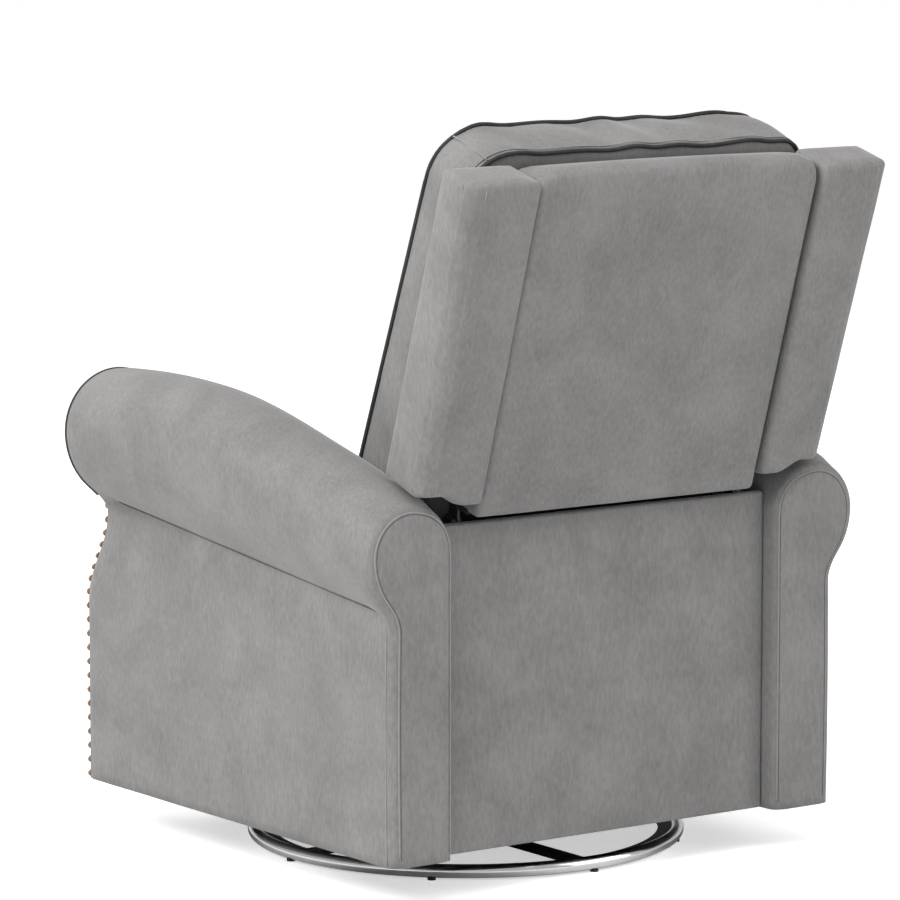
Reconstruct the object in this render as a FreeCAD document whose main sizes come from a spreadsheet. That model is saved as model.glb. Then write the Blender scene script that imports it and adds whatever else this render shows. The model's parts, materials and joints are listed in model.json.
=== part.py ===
import FreeCAD, Part
import math
import os
import Sketcher

# Swivel glider recliner. Millimetres, +Z up, the sitter faces -Y and sits with the left arm at +X.
# Lengths along Y are measured from the swivel axis. The last step moves every sub-part so that the
# origin lies on the floor, under the middle of the chair.

V = FreeCAD.Vector
doc = FreeCAD.newDocument("recliner")
sheet = doc.addObject("Spreadsheet::Sheet", "Sizes")

# Driving dimensions
SIZES = [
    # floor base
    ("ring_outer_radius", 305),
    ("ring_tube_radius", 9.5),
    ("foot_radius", 5.8),
    ("foot_height", 3),
    ("foot_count", 8),
    ("inner_ring_width", 17),
    ("inner_ring_thickness", 4),
    ("cross_bar_width", 30),
    ("cross_bar_thickness", 5),
    # swivel bearing
    ("bearing_radius", 112),
    ("bearing_plate", 4),
    ("ball_radius", 4),
    ("ball_count", 16),
    ("ball_circle", 92),
    ("ball_seat", 1.5),
    ("cage_thickness", 1.6),
    ("king_pin_radius", 12),
    ("king_head_radius", 20),
    ("king_head_height", 5),
    ("running_gap", 0.3),
    ("pin_gap", 0.08),
    # glider frame and links
    ("rail_width", 30),
    ("rail_height", 20),
    ("rail_spacing", 150),
    ("rail_wall", 2.5),
    ("upright_inner", 228),
    ("upright_plate", 5),
    ("upright_shoulder", 40),
    ("upright_neck", 20),
    ("upright_arch", 60),
    ("upright_web", 70),
    ("glide_front", -70),
    ("glide_rear", 130),
    ("glide_top", 203),
    ("glide_link_length", 100),
    ("glide_link_half_width", 16),
    ("glide_link_inner", 235.6),
    ("glide_link_plate", 5),
    ("bush_radius", 11),
    ("glide_pin_radius", 6),
    ("glide_head_radius", 10),
    # carriage
    ("side_plate_inner", 244),
    ("side_plate", 4),
    ("side_plate_drop", 2),
    ("side_plate_arch", 60),
    ("side_plate_edge", 20),
    ("cross_tube_size", 25),
    ("cross_tube_front", -120),
    ("cross_tube_rear", 215),
    ("cross_tube_drop", 20),
    ("cross_tube_wall", 2),
    ("frame_bottom", 278),
    ("frame_height", 55),
    ("frame_wood", 24),
    ("frame_front", -345),
    ("frame_rear", 308),
    ("webbing_count", 6),
    ("webbing_width", 50),
    ("webbing_thickness", 2),
    # arms
    ("arm_inner", 272),
    ("arm_outer", 371),
    ("casing_bottom", 59),
    ("arm_front", -388),
    ("arm_rear", 348),
    ("ogee_low", 318),
    ("ogee_high", 448),
    ("roll_front", -345),
    ("roll_outer_front", 440),
    ("roll_outer_rear", 410),
    ("roll_top_front", 650),
    ("roll_top_middle", 638),
    ("roll_top_rear", 550),
    ("neck_front", 468),
    ("neck_rear", 394),
    ("arm_edge_radius", 20),
    ("facing_thickness", 3),
    ("facing_inner", 293),
    ("facing_outer", 367),
    ("facing_loop_radius", 49),
    ("soft_gap", 0.3),
    # release lever
    ("bezel_y", -252),
    ("bezel_z", 368),
    ("bezel_length", 89),
    ("bezel_height", 57),
    ("bezel_lip", 4),
    ("bezel_depth", 18),
    ("bezel_wall", 5),
    ("lever_head_radius", 17),
    ("lever_thickness", 7),
    ("lever_length", 34),
    ("lever_inset", 21),
    ("lever_hub", 18),
    ("lever_neck", 14),
    ("lever_dish", 2),
    ("lever_rim", 4),
    ("lever_pin_radius", 2),
    # seat and footrest upholstery
    ("seat_half_width", 262),
    ("seat_front", -376),
    ("seat_rear", 100),
    ("seat_welt", 463),
    ("seat_crown", 24),
    ("band_bottom", 267),
    ("band_thickness", 29),
    ("footrest_bottom", 53),
    ("footrest_top", 255),
    ("footrest_board", 12),
    ("footrest_pad", 17),
    # footrest linkage, with the chair closed
    ("drive_pivot_y", -227.6),
    ("drive_pivot_z", 282),
    ("drive_foot_y", -159),
    ("drive_foot_z", 63),
    ("partner_knee_dy", 41.9),
    ("partner_knee_dz", -42.9),
    ("partner_dy", -44),
    ("partner_dz", 13.4),
    ("panel_pivot_y", -318),
    ("panel_pivot_z", 170),
    ("steer_dy", -12.6),
    ("steer_dz", 40.1),
    ("link_half_width", 8),
    ("link_plate", 3.5),
    ("outer_layer", 236.5),
    ("middle_layer", 232),
    ("inner_layer", 227.5),
    ("rivet_radius", 4),
    ("rivet_head_radius", 6.5),
    ("rivet_head", 1.6),
    ("torque_tube_radius", 9),
    # back
    ("back_tilt", 15.8),
    ("back_base_y", 362),
    ("back_base_z", 536),
    ("back_pivot_y", 295),
    ("back_pivot_z", 500),
    ("hinge_pin_radius", 6),
    ("bracket_plate", 4),
    ("hinge_eye", 11),
    ("hinge_reach", 52),
    ("hinge_margin", 6),
    ("hinge_head_radius", 10),
    ("hinge_head", 3),
    ("hinge_collar_radius", 9),
    ("wing_inner", 233),
    ("wing_outer_low", 332),
    ("wing_outer_high", 345),
    ("wing_depth_low", 90),
    ("wing_depth_high", 62),
    ("wing_length", 449),
    ("wing_lip_height", 46),
    ("wing_arm_gap", 5),
    ("wing_edge_radius", 22),
    ("post_width", 24),
    ("post_depth", 42),
    ("post_bottom", -35),
    ("post_top", 425),
    ("back_rail_height", 45),
    ("back_rail_low", 55),
    ("panel_half_width", 228),
    ("panel_setback", 8),
    ("panel_depth", 24),
    ("panel_bottom", -32),
    ("panel_corner_top", 429),
    ("panel_middle_top", 457),
    ("cushion_tilt", 21.4),
    ("cushion_base_y", 94.8),
    ("cushion_base_z", 494),
    ("cushion_half_width", 271),
    ("cushion_length", 574),
    ("cushion_depth", 96),
    ("cushion_crown", 38),
    ("cushion_corner", 78),
    ("tail_rear", 320),
    ("tail_thickness", 12),
    ("tail_top", 500),
]
for row, (alias, value) in enumerate(SIZES, start=1):
    sheet.set("A%d" % row, alias)
    sheet.set("B%d" % row, str(value))
    sheet.setAlias("B%d" % row, alias)
doc.recompute()


def size(alias):
    return float(sheet.get(alias))


# Sub-parts, in the order in which they are written
parts = []


def keep(obj, label):
    obj.Label = label
    parts.append(obj)
    return obj


def bind(obj, **cells):
    """Ties each property of an object to a formula over the sheet's cells."""
    for name, formula in cells.items():
        obj.setExpression(name.replace("__", "."), formula)
    return obj


def cylinder(name, radius, height, x="0", y="0", z="0"):
    obj = doc.addObject("Part::Cylinder", name)
    return bind(obj, Radius=radius, Height=height, Placement__Base__x=x, Placement__Base__y=y,
                Placement__Base__z=z)


def rod(name, radius, x, length, y, z):
    """A cylinder along X that starts at x."""
    obj = doc.addObject("Part::Cylinder", name)
    obj.Placement = FreeCAD.Placement(V(0, 0, 0), FreeCAD.Rotation(V(0, 1, 0), 90))
    return bind(obj, Radius=radius, Height=length, Placement__Base__x=x, Placement__Base__y=y,
                Placement__Base__z=z)


def box(name, length, width, height, x, y, z):
    obj = doc.addObject("Part::Box", name)
    return bind(obj, Length=length, Width=width, Height=height, Placement__Base__x=x,
                Placement__Base__y=y, Placement__Base__z=z)


def cut(name, base, tool):
    obj = doc.addObject("Part::Cut", name)
    obj.Base = base
    obj.Tool = tool
    return obj


def fuse(name, shapes):
    obj = doc.addObject("Part::MultiFuse", name)
    obj.Shapes = shapes
    return obj


def group(name, links):
    obj = doc.addObject("Part::Compound", name)
    obj.Links = links
    return obj


def feature(name, shape, placement=None):
    obj = doc.addObject("Part::Feature", name)
    obj.Shape = shape
    if placement is not None:
        obj.Placement = placement
    return obj


SIDES = (("left", 1), ("right", -1))


def start_x(side, inner, thickness):
    """Formula for the low X face of a layer that lies between inner and inner + thickness."""
    if side > 0:
        return inner
    return "-(%s)-(%s)" % (inner, thickness)


def sketch_plate(name, side, inner, thickness, edges, holes):
    """A plate in the YZ plane: its outline and holes are sketched, its pad follows the sheet."""
    body = doc.addObject("PartDesign::Body", name)
    sketch = body.newObject("Sketcher::SketchObject", name + "_outline")
    plane = [f for f in body.Origin.OriginFeatures if f.Role == "YZ_Plane"][0]
    sketch.AttachmentSupport = [(plane, "")]
    sketch.MapMode = "FlatFace"
    for edge in edges:
        sketch.addGeometry(edge, False)
    for (y, z, radius) in holes:
        sketch.addGeometry(Part.Circle(V(y, z, 0), V(0, 0, 1), radius), False)
    pad = body.newObject("PartDesign::Pad", name + "_pad")
    pad.Profile = sketch
    bind(pad, Length=thickness)
    bind(body, Placement__Base__x=start_x(side, inner, thickness))
    return body


def polygon(points):
    """Straight edges round a list of points."""
    loop = list(points) + [points[0]]
    return [Part.LineSegment(V(a[0], a[1], 0), V(b[0], b[1], 0)) for a, b in zip(loop, loop[1:])]


def bar_edges(points, half_width):
    """Outline of a bar of constant width through two or more points, with round ends."""
    def unit(a, b):
        length = math.hypot(b[0] - a[0], b[1] - a[1])
        return ((b[0] - a[0]) / length, (b[1] - a[1]) / length)

    def offset_line(side):
        directions = [unit(a, b) for a, b in zip(points, points[1:])]
        line = []
        for i, p in enumerate(points):
            before = directions[max(i - 1, 0)]
            after = directions[min(i, len(directions) - 1)]
            nx = -(before[1] + after[1])
            ny = before[0] + after[0]
            scale = 2 * side * half_width / (nx * nx + ny * ny)
            line.append(V(p[0] + nx * scale, p[1] + ny * scale, 0))
        return line

    left = offset_line(1)
    right = offset_line(-1)
    first = unit(points[1], points[0])
    last = unit(points[-2], points[-1])
    start = V(points[0][0] + first[0] * half_width, points[0][1] + first[1] * half_width, 0)
    end = V(points[-1][0] + last[0] * half_width, points[-1][1] + last[1] * half_width, 0)
    edges = [Part.LineSegment(a, b) for a, b in zip(left, left[1:])]
    edges.append(Part.Arc(left[-1], end, right[-1]))
    edges += [Part.LineSegment(b, a) for a, b in zip(right, right[1:])]
    edges.append(Part.Arc(right[0], start, left[0]))
    return edges


# Floor base: chromed ring on small feet, flat inner ring and crossed bars
ring_major = size("ring_outer_radius") - size("ring_tube_radius")
ring_z = size("foot_height") + size("ring_tube_radius")
RING_Z = "Sizes.foot_height+Sizes.ring_tube_radius"
RING_MAJOR = "Sizes.ring_outer_radius-Sizes.ring_tube_radius"


def ring_tube(name):
    obj = doc.addObject("Part::Torus", name)
    return bind(obj, Radius1=RING_MAJOR, Radius2="Sizes.ring_tube_radius", Placement__Base__z=RING_Z)


def base():
    keep(ring_tube("chromed_ring"), "floor_ring")

    feet = []
    for i in range(int(size("foot_count"))):
        angle = "%d*360/Sizes.foot_count" % i
        feet.append(cylinder("foot_%d" % i, "Sizes.foot_radius", RING_Z,
                             x="(%s)*cos(%s)" % (RING_MAJOR, angle),
                             y="(%s)*sin(%s)" % (RING_MAJOR, angle)))
    keep(cut("feet_cut", group("feet_group", feet), ring_tube("foot_seat")), "ring_feet")

    inner_ring_z = RING_Z + "-Sizes.inner_ring_thickness/2"
    outer_edge = "Sizes.ring_outer_radius-2*Sizes.ring_tube_radius"
    outside = cylinder("inner_ring_outside", outer_edge, "Sizes.inner_ring_thickness", z=inner_ring_z)
    inside = cylinder("inner_ring_inside", outer_edge + "-Sizes.inner_ring_width",
                      "Sizes.inner_ring_thickness", z=inner_ring_z)
    keep(cut("inner_ring_cut", outside, inside), "inner_ring")

    reach = "(" + outer_edge + "-1)"
    bar_z = inner_ring_z + "-Sizes.cross_bar_thickness"
    along_x = box("bar_x", "2*" + reach, "Sizes.cross_bar_width", "Sizes.cross_bar_thickness",
                  "-" + reach, "-Sizes.cross_bar_width/2", bar_z)
    along_y = box("bar_y", "Sizes.cross_bar_width", "2*" + reach, "Sizes.cross_bar_thickness",
                  "-Sizes.cross_bar_width/2", "-" + reach, bar_z)
    keep(fuse("bars_fused", [along_x, along_y]), "cross_bars")


# Swivel bearing: grooved plates with balls in a cage between them, on a king pin
LOWER_Z = "Sizes.foot_height+Sizes.ring_tube_radius-Sizes.inner_ring_thickness/2"
PLATE_GAP = "(2*Sizes.ball_radius-2*Sizes.ball_seat)"
UPPER_Z = LOWER_Z + "+Sizes.bearing_plate+" + PLATE_GAP
lower_z = ring_z - size("inner_ring_thickness") / 2
ball_z = lower_z + size("bearing_plate") + size("ball_radius") - size("ball_seat")
upper_z = lower_z + size("bearing_plate") + 2 * size("ball_radius") - 2 * size("ball_seat")
deck_z = upper_z + size("bearing_plate")


def bearing_disc(name, z, bore, groove_gap):
    disc = cylinder(name + "_disc", "Sizes.bearing_radius", "Sizes.bearing_plate", z=z)
    hole = cylinder(name + "_bore", bore, "Sizes.bearing_plate", z=z)
    groove = doc.addObject("Part::Torus", name + "_groove")
    bind(groove, Radius1="Sizes.ball_circle", Radius2="Sizes.ball_radius+" + groove_gap,
         Placement__Base__z=LOWER_Z + "+Sizes.bearing_plate+Sizes.ball_radius-Sizes.ball_seat")
    return cut(name + "_cut", disc, fuse(name + "_tools", [hole, groove]))


def bearing():
    keep(bearing_disc("lower_plate", LOWER_Z, "Sizes.king_pin_radius+Sizes.pin_gap",
                      "Sizes.pin_gap"), "swivel_lower_plate")
    keep(bearing_disc("upper_plate", UPPER_Z, "Sizes.king_pin_radius+Sizes.running_gap",
                      "Sizes.running_gap"), "swivel_upper_plate")

    balls = []
    pockets = []
    for i in range(int(size("ball_count"))):
        angle = math.radians(i * 360 / size("ball_count"))
        centre = V(size("ball_circle") * math.cos(angle), size("ball_circle") * math.sin(angle), ball_z)
        ball = doc.addObject("Part::Sphere", "ball_%d" % i)
        bind(ball, Radius="Sizes.ball_radius")
        ball.Placement.Base = centre
        balls.append(ball)
        pocket = cylinder("pocket_%d" % i, "Sizes.ball_radius+Sizes.running_gap",
                          "2*Sizes.cage_thickness")
        pocket.setExpression("Placement.Base.x", None)
        pocket.setExpression("Placement.Base.y", None)
        pocket.setExpression("Placement.Base.z", None)
        pocket.Placement.Base = centre - V(0, 0, size("cage_thickness"))
        pockets.append(pocket)
    keep(group("balls_group", balls), "bearing_balls")

    cage_z = LOWER_Z + "+Sizes.bearing_plate+Sizes.ball_radius-Sizes.ball_seat-Sizes.cage_thickness/2"
    ring = cylinder("cage_outside", "Sizes.ball_circle+2.2*Sizes.ball_radius", "Sizes.cage_thickness",
                    z=cage_z)
    hole = cylinder("cage_inside", "Sizes.ball_circle-2.2*Sizes.ball_radius", "Sizes.cage_thickness",
                    z=cage_z)
    keep(cut("cage_cut", ring, fuse("cage_tools", [hole] + pockets)), "ball_cage")

    pin_bottom = "(" + LOWER_Z + ")"
    head_z = UPPER_Z + "+Sizes.bearing_plate+Sizes.running_gap"
    pin = cylinder("pin_shank", "Sizes.king_pin_radius", "(%s)-%s" % (head_z, pin_bottom),
                   z=pin_bottom)
    head = cylinder("pin_head", "Sizes.king_head_radius", "Sizes.king_head_height", z=head_z)
    keep(fuse("pin_fused", [pin, head]), "king_pin")


# Glider frame: cross rails on the swivel plate and an upright plate at each end
link_foot_z = size("glide_top") - size("glide_link_length")
PIVOTS = (("front", size("glide_front")), ("rear", size("glide_rear")))


def glider_frame():
    rails = []
    for name, sign in (("front", -1), ("rear", 1)):
        y = "%d*Sizes.rail_spacing/2-Sizes.rail_width/2" % sign
        outer = box("rail_%s_outer" % name, "2*Sizes.upright_inner", "Sizes.rail_width",
                    "Sizes.rail_height", "-Sizes.upright_inner", y, UPPER_Z + "+Sizes.bearing_plate")
        inner = box("rail_%s_bore" % name, "2*Sizes.upright_inner",
                    "Sizes.rail_width-2*Sizes.rail_wall", "Sizes.rail_height-2*Sizes.rail_wall",
                    "-Sizes.upright_inner", y + "+Sizes.rail_wall",
                    UPPER_Z + "+Sizes.bearing_plate+Sizes.rail_wall")
        rails.append(cut("rail_" + name, outer, inner))
    keep(group("rails_group", rails), "glider_rails")

    foot = deck_z
    tower = size("glide_link_half_width")
    front = size("glide_front")
    rear = size("glide_rear")
    top = size("glide_top")
    half_rail = size("rail_spacing") / 2 + size("rail_width") / 2
    shoulder = top - size("upright_shoulder")
    neck = top - size("upright_neck")
    arch = size("upright_arch")
    crotch = foot + size("upright_web")
    edges = []
    corners = [(-half_rail, foot), (half_rail, foot), (rear + tower, shoulder), (rear + tower, top),
               (rear - tower, top), (rear - tower, neck), (rear - arch, crotch),
               (front + arch, crotch), (front + tower, neck), (front + tower, top),
               (front - tower, top), (front - tower, shoulder)]
    loop = corners + [corners[0]]
    for i, (a, b) in enumerate(zip(loop, loop[1:])):
        if abs(a[1] - top) < 0.01 and abs(b[1] - top) < 0.01:
            middle = V((a[0] + b[0]) / 2, top + tower, 0)
            edges.append(Part.Arc(V(a[0], a[1], 0), middle, V(b[0], b[1], 0)))
        else:
            edges.append(Part.LineSegment(V(a[0], a[1], 0), V(b[0], b[1], 0)))
    holes = [(front, top, size("glide_pin_radius")), (rear, top, size("glide_pin_radius"))]
    for side_name, side in SIDES:
        plate = sketch_plate("upright_" + side_name, side, "Sizes.upright_inner",
                             "Sizes.upright_plate", edges, holes)
        keep(plate, side_name + "_glider_upright")


def glide_pin(name, side, y, z, first, last):
    """A headed pin along X from the first face to the last, with a head beyond each."""
    low = first if side > 0 else -last
    length = last - first
    radius = size("glide_pin_radius")
    head = size("rivet_head")
    shank = Part.makeCylinder(radius, length, V(low, y, z), V(1, 0, 0))
    left = Part.makeCylinder(size("glide_head_radius"), head, V(low - head, y, z), V(1, 0, 0))
    right = Part.makeCylinder(size("glide_head_radius"), head, V(low + length, y, z), V(1, 0, 0))
    return feature(name, shank.fuse([left, right]).removeSplitter())


# Glide links: four plates with bushes that hang from the uprights and carry the seat
def glide_links():
    inner = size("glide_link_inner")
    plate = size("glide_link_plate")
    upright_outer = size("upright_inner") + size("upright_plate")
    pins_above = []
    pins_below = []
    for end, y in PIVOTS:
        y_cell = "Sizes.glide_" + end
        plates = []
        bushes = []
        edges = bar_edges([(y, size("glide_top")), (y, link_foot_z)], size("glide_link_half_width"))
        holes = [(y, size("glide_top"), size("bush_radius")), (y, link_foot_z, size("bush_radius"))]
        for side_name, side in SIDES:
            plates.append(sketch_plate("%s_link_%s" % (end, side_name), side, "Sizes.glide_link_inner",
                                       "Sizes.glide_link_plate", edges, holes))
            x = start_x(side, "Sizes.glide_link_inner", "Sizes.glide_link_plate")
            for level in ("Sizes.glide_top", "Sizes.glide_top-Sizes.glide_link_length"):
                ring = rod("bush", "Sizes.bush_radius", x, "Sizes.glide_link_plate", y_cell, level)
                bore = rod("bush_bore", "Sizes.glide_pin_radius+Sizes.pin_gap", x,
                           "Sizes.glide_link_plate", y_cell, level)
                bushes.append(cut("bush_cut", ring, bore))
            pins_above.append(glide_pin("upper_pin", side, y, size("glide_top"),
                                        size("upright_inner"), inner + plate + size("running_gap")))
            pins_below.append(glide_pin("lower_pin", side, y, link_foot_z,
                                        inner - size("running_gap"),
                                        size("side_plate_inner") + size("side_plate")))
        keep(group(end + "_links_group", plates), end + "_glide_links")
        keep(group(end + "_bushes_group", bushes), end + "_glide_bushes")
    keep(group("upper_pins", pins_above), "glide_upper_pins")
    keep(group("lower_pins", pins_below), "glide_lower_pins")


# Carriage: side plates, cross tubes, wooden seat frame and webbing
drive = (size("drive_pivot_y"), size("drive_pivot_z"))
drive_foot = (size("drive_foot_y"), size("drive_foot_z"))
shift = (size("partner_dy"), size("partner_dz"))
partner = (drive[0] + shift[0], drive[1] + shift[1])
partner_foot = (drive_foot[0] + shift[0], drive_foot[1] + shift[1])
partner_knee = (partner[0] + size("partner_knee_dy"), partner[1] + size("partner_knee_dz"))
panel_pivot = (size("panel_pivot_y"), size("panel_pivot_z"))
steer = (size("steer_dy"), size("steer_dz"))
steer_start = (drive_foot[0] + steer[0], drive_foot[1] + steer[1])
steer_end = (panel_pivot[0] + steer[0], panel_pivot[1] + steer[1])
frame_top = size("frame_bottom") + size("frame_height")


def carriage():
    front = size("glide_front")
    rear = size("glide_rear")
    hinge = (size("back_pivot_y"), size("back_pivot_z"))
    eye = size("glide_link_half_width")
    top = frame_top - size("side_plate_drop")
    arch = size("side_plate_arch")
    glide = size("glide_top")
    edge = size("side_plate_edge")
    nose = size("hinge_eye")
    corners = [(front - eye, link_foot_z - eye), (front + eye, link_foot_z - eye),
               (front + arch, glide - edge), (rear - arch, glide - edge),
               (rear - eye, link_foot_z - eye), (rear + eye, link_foot_z - eye),
               (rear + arch, glide + arch), (hinge[0] + nose, top + arch),
               (hinge[0] + nose, hinge[1]), (hinge[0], hinge[1] + nose), (hinge[0] - nose, hinge[1]),
               (hinge[0] - 1.5 * edge, top + arch + nose), (rear + 2.5 * edge, top),
               (partner[0] - 0.7 * edge, top), (partner[0] - 0.7 * edge, partner[1] - 0.6 * edge),
               (drive[0] - 0.4 * edge, drive[1] - 0.9 * edge),
               (drive[0] + 1.5 * edge, drive[1] - edge), (front - 2.5 * edge, glide + edge)]
    pivot = size("rivet_radius")
    holes = [(front, link_foot_z, size("glide_pin_radius")),
             (rear, link_foot_z, size("glide_pin_radius")),
             (partner[0], partner[1], pivot),
             (drive[0], drive[1], pivot + size("pin_gap")),
             (hinge[0], hinge[1], size("hinge_pin_radius"))]
    for side_name, side in SIDES:
        plate = sketch_plate("mechanism_plate_" + side_name, side, "Sizes.side_plate_inner",
                             "Sizes.side_plate", polygon(corners), holes)
        keep(plate, side_name + "_side_plate")

    tubes = []
    for name in ("front", "rear"):
        y = "Sizes.cross_tube_%s-Sizes.cross_tube_size/2" % name
        z = "Sizes.frame_bottom+Sizes.frame_height-Sizes.cross_tube_drop-Sizes.cross_tube_size/2"
        outer = box("tube_%s_outer" % name, "2*Sizes.side_plate_inner", "Sizes.cross_tube_size",
                    "Sizes.cross_tube_size", "-Sizes.side_plate_inner", y, z)
        bore = "Sizes.cross_tube_size-2*Sizes.cross_tube_wall"
        inner = box("tube_%s_bore" % name, "2*Sizes.side_plate_inner", bore, bore,
                    "-Sizes.side_plate_inner", y + "+Sizes.cross_tube_wall",
                    z + "+Sizes.cross_tube_wall")
        tubes.append(cut("tube_" + name, outer, inner))
    keep(group("tubes_group", tubes), "carriage_cross_tubes")

    length = "Sizes.frame_rear-Sizes.frame_front"
    outer = box("frame_outside", "2*Sizes.arm_inner", length, "Sizes.frame_height",
                "-Sizes.arm_inner", "Sizes.frame_front", "Sizes.frame_bottom")
    inner = box("frame_inside", "2*(Sizes.arm_inner-Sizes.frame_wood)",
                length + "-2*Sizes.frame_wood", "Sizes.frame_height",
                "-(Sizes.arm_inner-Sizes.frame_wood)", "Sizes.frame_front+Sizes.frame_wood",
                "Sizes.frame_bottom")
    keep(cut("frame_cut", outer, inner), "seat_frame")

    straps = []
    pitch = "2*(Sizes.arm_inner-Sizes.frame_wood)/Sizes.webbing_count"
    for i in range(int(size("webbing_count"))):
        x = "(%d-Sizes.webbing_count/2+0.5)*%s-Sizes.webbing_width/2" % (i, pitch)
        straps.append(box("strap_%d" % i, "Sizes.webbing_width", length, "Sizes.webbing_thickness", x,
                          "Sizes.frame_front", "Sizes.frame_bottom+Sizes.frame_height"))
    keep(group("straps_group", straps), "seat_webbing")


# Arms: an upholstered panel with an ogee front, and a scroll that tapers to the rear
def blend(y, front, rear):
    share = (y - size("roll_front")) / (size("arm_rear") - size("roll_front"))
    return front + (rear - front) * share


def roll_top(y):
    """Height of the scroll's top line: a parabola through its front, middle and rear."""
    y0, y1, y2 = size("roll_front"), 0.0, size("arm_rear")
    z0, z1, z2 = size("roll_top_front"), size("roll_top_middle"), size("roll_top_rear")
    a = z0 * (y - y1) * (y - y2) / ((y0 - y1) * (y0 - y2))
    b = z1 * (y - y0) * (y - y2) / ((y1 - y0) * (y1 - y2))
    c = z2 * (y - y0) * (y - y1) / ((y2 - y0) * (y2 - y1))
    return a + b + c


def roll_section(y, inset, side):
    """Closed section of the arm above the seat frame, drawn in by the inset."""
    outer = blend(y, size("roll_outer_front"), size("roll_outer_rear"))
    inner = size("arm_inner")
    radius = (outer - inner) / 2
    centre_x = inner + radius
    centre_z = roll_top(y) - radius
    neck_z = blend(y, size("neck_front"), size("neck_rear"))
    neck_x = size("arm_outer") - inset
    reach = radius - inset
    low = frame_top
    dx = centre_x + reach - neck_x
    dz = centre_z - neck_z
    big = (dx * dx + dz * dz) / (2 * dx)
    half = math.asin(min(1.0, dz / big)) / 2

    def point(x, z):
        return V(side * x, y, z)

    start = point(inner + inset, low)
    waist = point(inner + inset, centre_z)
    top = point(centre_x, centre_z + reach)
    outside = point(centre_x + reach, centre_z)
    neck = point(neck_x, neck_z)
    end = point(neck_x, low)
    root = reach * math.sqrt(0.5)
    edges = [Part.LineSegment(start, waist),
             Part.Arc(waist, point(centre_x - root, centre_z + root), top),
             Part.Arc(top, point(centre_x + root, centre_z + root), outside),
             Part.Arc(outside, point(centre_x + reach - big + big * math.cos(half),
                                     centre_z - big * math.sin(half)), neck),
             Part.LineSegment(neck, end),
             Part.LineSegment(end, start)]
    return Part.Wire([edge.toShape() for edge in edges])


def ogee_curve(offset):
    """Edges of the arm's front line in side view, from the floor end up to the scroll."""
    low_y = size("arm_front") - offset
    high_y = size("roll_front") - offset
    low_z = size("ogee_low")
    high_z = size("ogee_high")
    step_y = (high_y - low_y) / 2
    step_z = (high_z - low_z) / 2
    radius = (step_y * step_y + step_z * step_z) / (2 * step_y)
    half = math.asin(step_z / radius) / 2
    middle = V(0, low_y + step_y, low_z + step_z)
    first = V(0, low_y + radius - radius * math.cos(half), low_z + radius * math.sin(half))
    second = V(0, high_y - radius + radius * math.cos(half), high_z - radius * math.sin(half))
    return V(0, low_y, low_z), first, middle, second, V(0, high_y, high_z)


def arm_panel(side):
    """Lower block of the arm: the ogee profile pushed out across the arm's width."""
    low, first, middle, second, high = ogee_curve(0)
    floor_front = V(0, low.y, size("casing_bottom"))
    top_front = V(0, high.y, size("neck_front"))
    top_rear = V(0, size("arm_rear"), frame_top + 20)
    floor_rear = V(0, size("arm_rear"), size("casing_bottom"))
    edges = [Part.LineSegment(floor_front, low), Part.Arc(low, first, middle),
             Part.Arc(middle, second, high), Part.LineSegment(high, top_front),
             Part.LineSegment(top_front, top_rear), Part.LineSegment(top_rear, floor_rear),
             Part.LineSegment(floor_rear, floor_front)]
    wire = Part.Wire([edge.toShape() for edge in edges])
    face = Part.Face(wire)
    start = size("arm_inner") if side > 0 else -size("arm_outer")
    face.translate(V(start, 0, 0))
    block = face.extrude(V(size("arm_outer") - size("arm_inner"), 0, 0))
    rim = [edge for edge in block.Edges if is_front_rim(edge)]
    return block.makeFillet(size("arm_edge_radius"), rim)


def is_front_rim(edge):
    """True for the edges that run up the ogee on either side."""
    box_ = edge.BoundBox
    along_x = box_.XLength > 1
    before = box_.YMax < size("roll_front") + 0.01
    return before and not along_x and box_.ZMin > size("casing_bottom") - 0.01 and box_.ZLength > 1


def arm_solid(side):
    radius = size("arm_edge_radius")
    front = size("roll_front")
    rounding = []
    for step in range(5):
        angle = math.radians(90 * step / 4)
        rounding.append(roll_section(front + radius * (1 - math.sin(angle)),
                                     radius * (1 - math.cos(angle)), side))
    cap = Part.makeLoft(rounding[::-1], True, True)
    stations = [front + radius + share * (size("arm_rear") - front - radius)
                for share in (0, 0.25, 0.5, 0.75, 1)]
    scroll = Part.makeLoft([roll_section(y, 0, side) for y in stations], True, False)
    return arm_panel(side).fuse([cap, scroll])


def facing_outline(side):
    """Front view of the raised facing: a strip that rises into a round loop in the scroll."""
    radius = size("facing_loop_radius")
    middle = (size("arm_inner") + size("roll_outer_front")) / 2
    centre_z = size("roll_top_front") - (size("roll_outer_front") - size("arm_inner")) / 2
    inner = size("facing_inner")
    outer = size("facing_outer")
    low = size("casing_bottom") + size("soft_gap")
    neck = size("ogee_high") + 30
    side_step = radius * math.sqrt(0.5)

    def point(x, z):
        return V(side * x, 0, z)

    edges = [Part.LineSegment(point(inner, low), point(inner, neck)),
             Part.LineSegment(point(inner, neck), point(middle - radius, centre_z)),
             Part.Arc(point(middle - radius, centre_z),
                      point(middle - side_step, centre_z + side_step),
                      point(middle, centre_z + radius)),
             Part.Arc(point(middle, centre_z + radius),
                      point(middle + side_step, centre_z + side_step),
                      point(middle + radius, centre_z)),
             Part.LineSegment(point(middle + radius, centre_z), point(outer - 4, neck)),
             Part.LineSegment(point(outer - 4, neck), point(outer - 4, low)),
             Part.LineSegment(point(outer - 4, low), point(inner, low))]
    return Part.Face(Part.Wire([edge.toShape() for edge in edges]))


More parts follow.
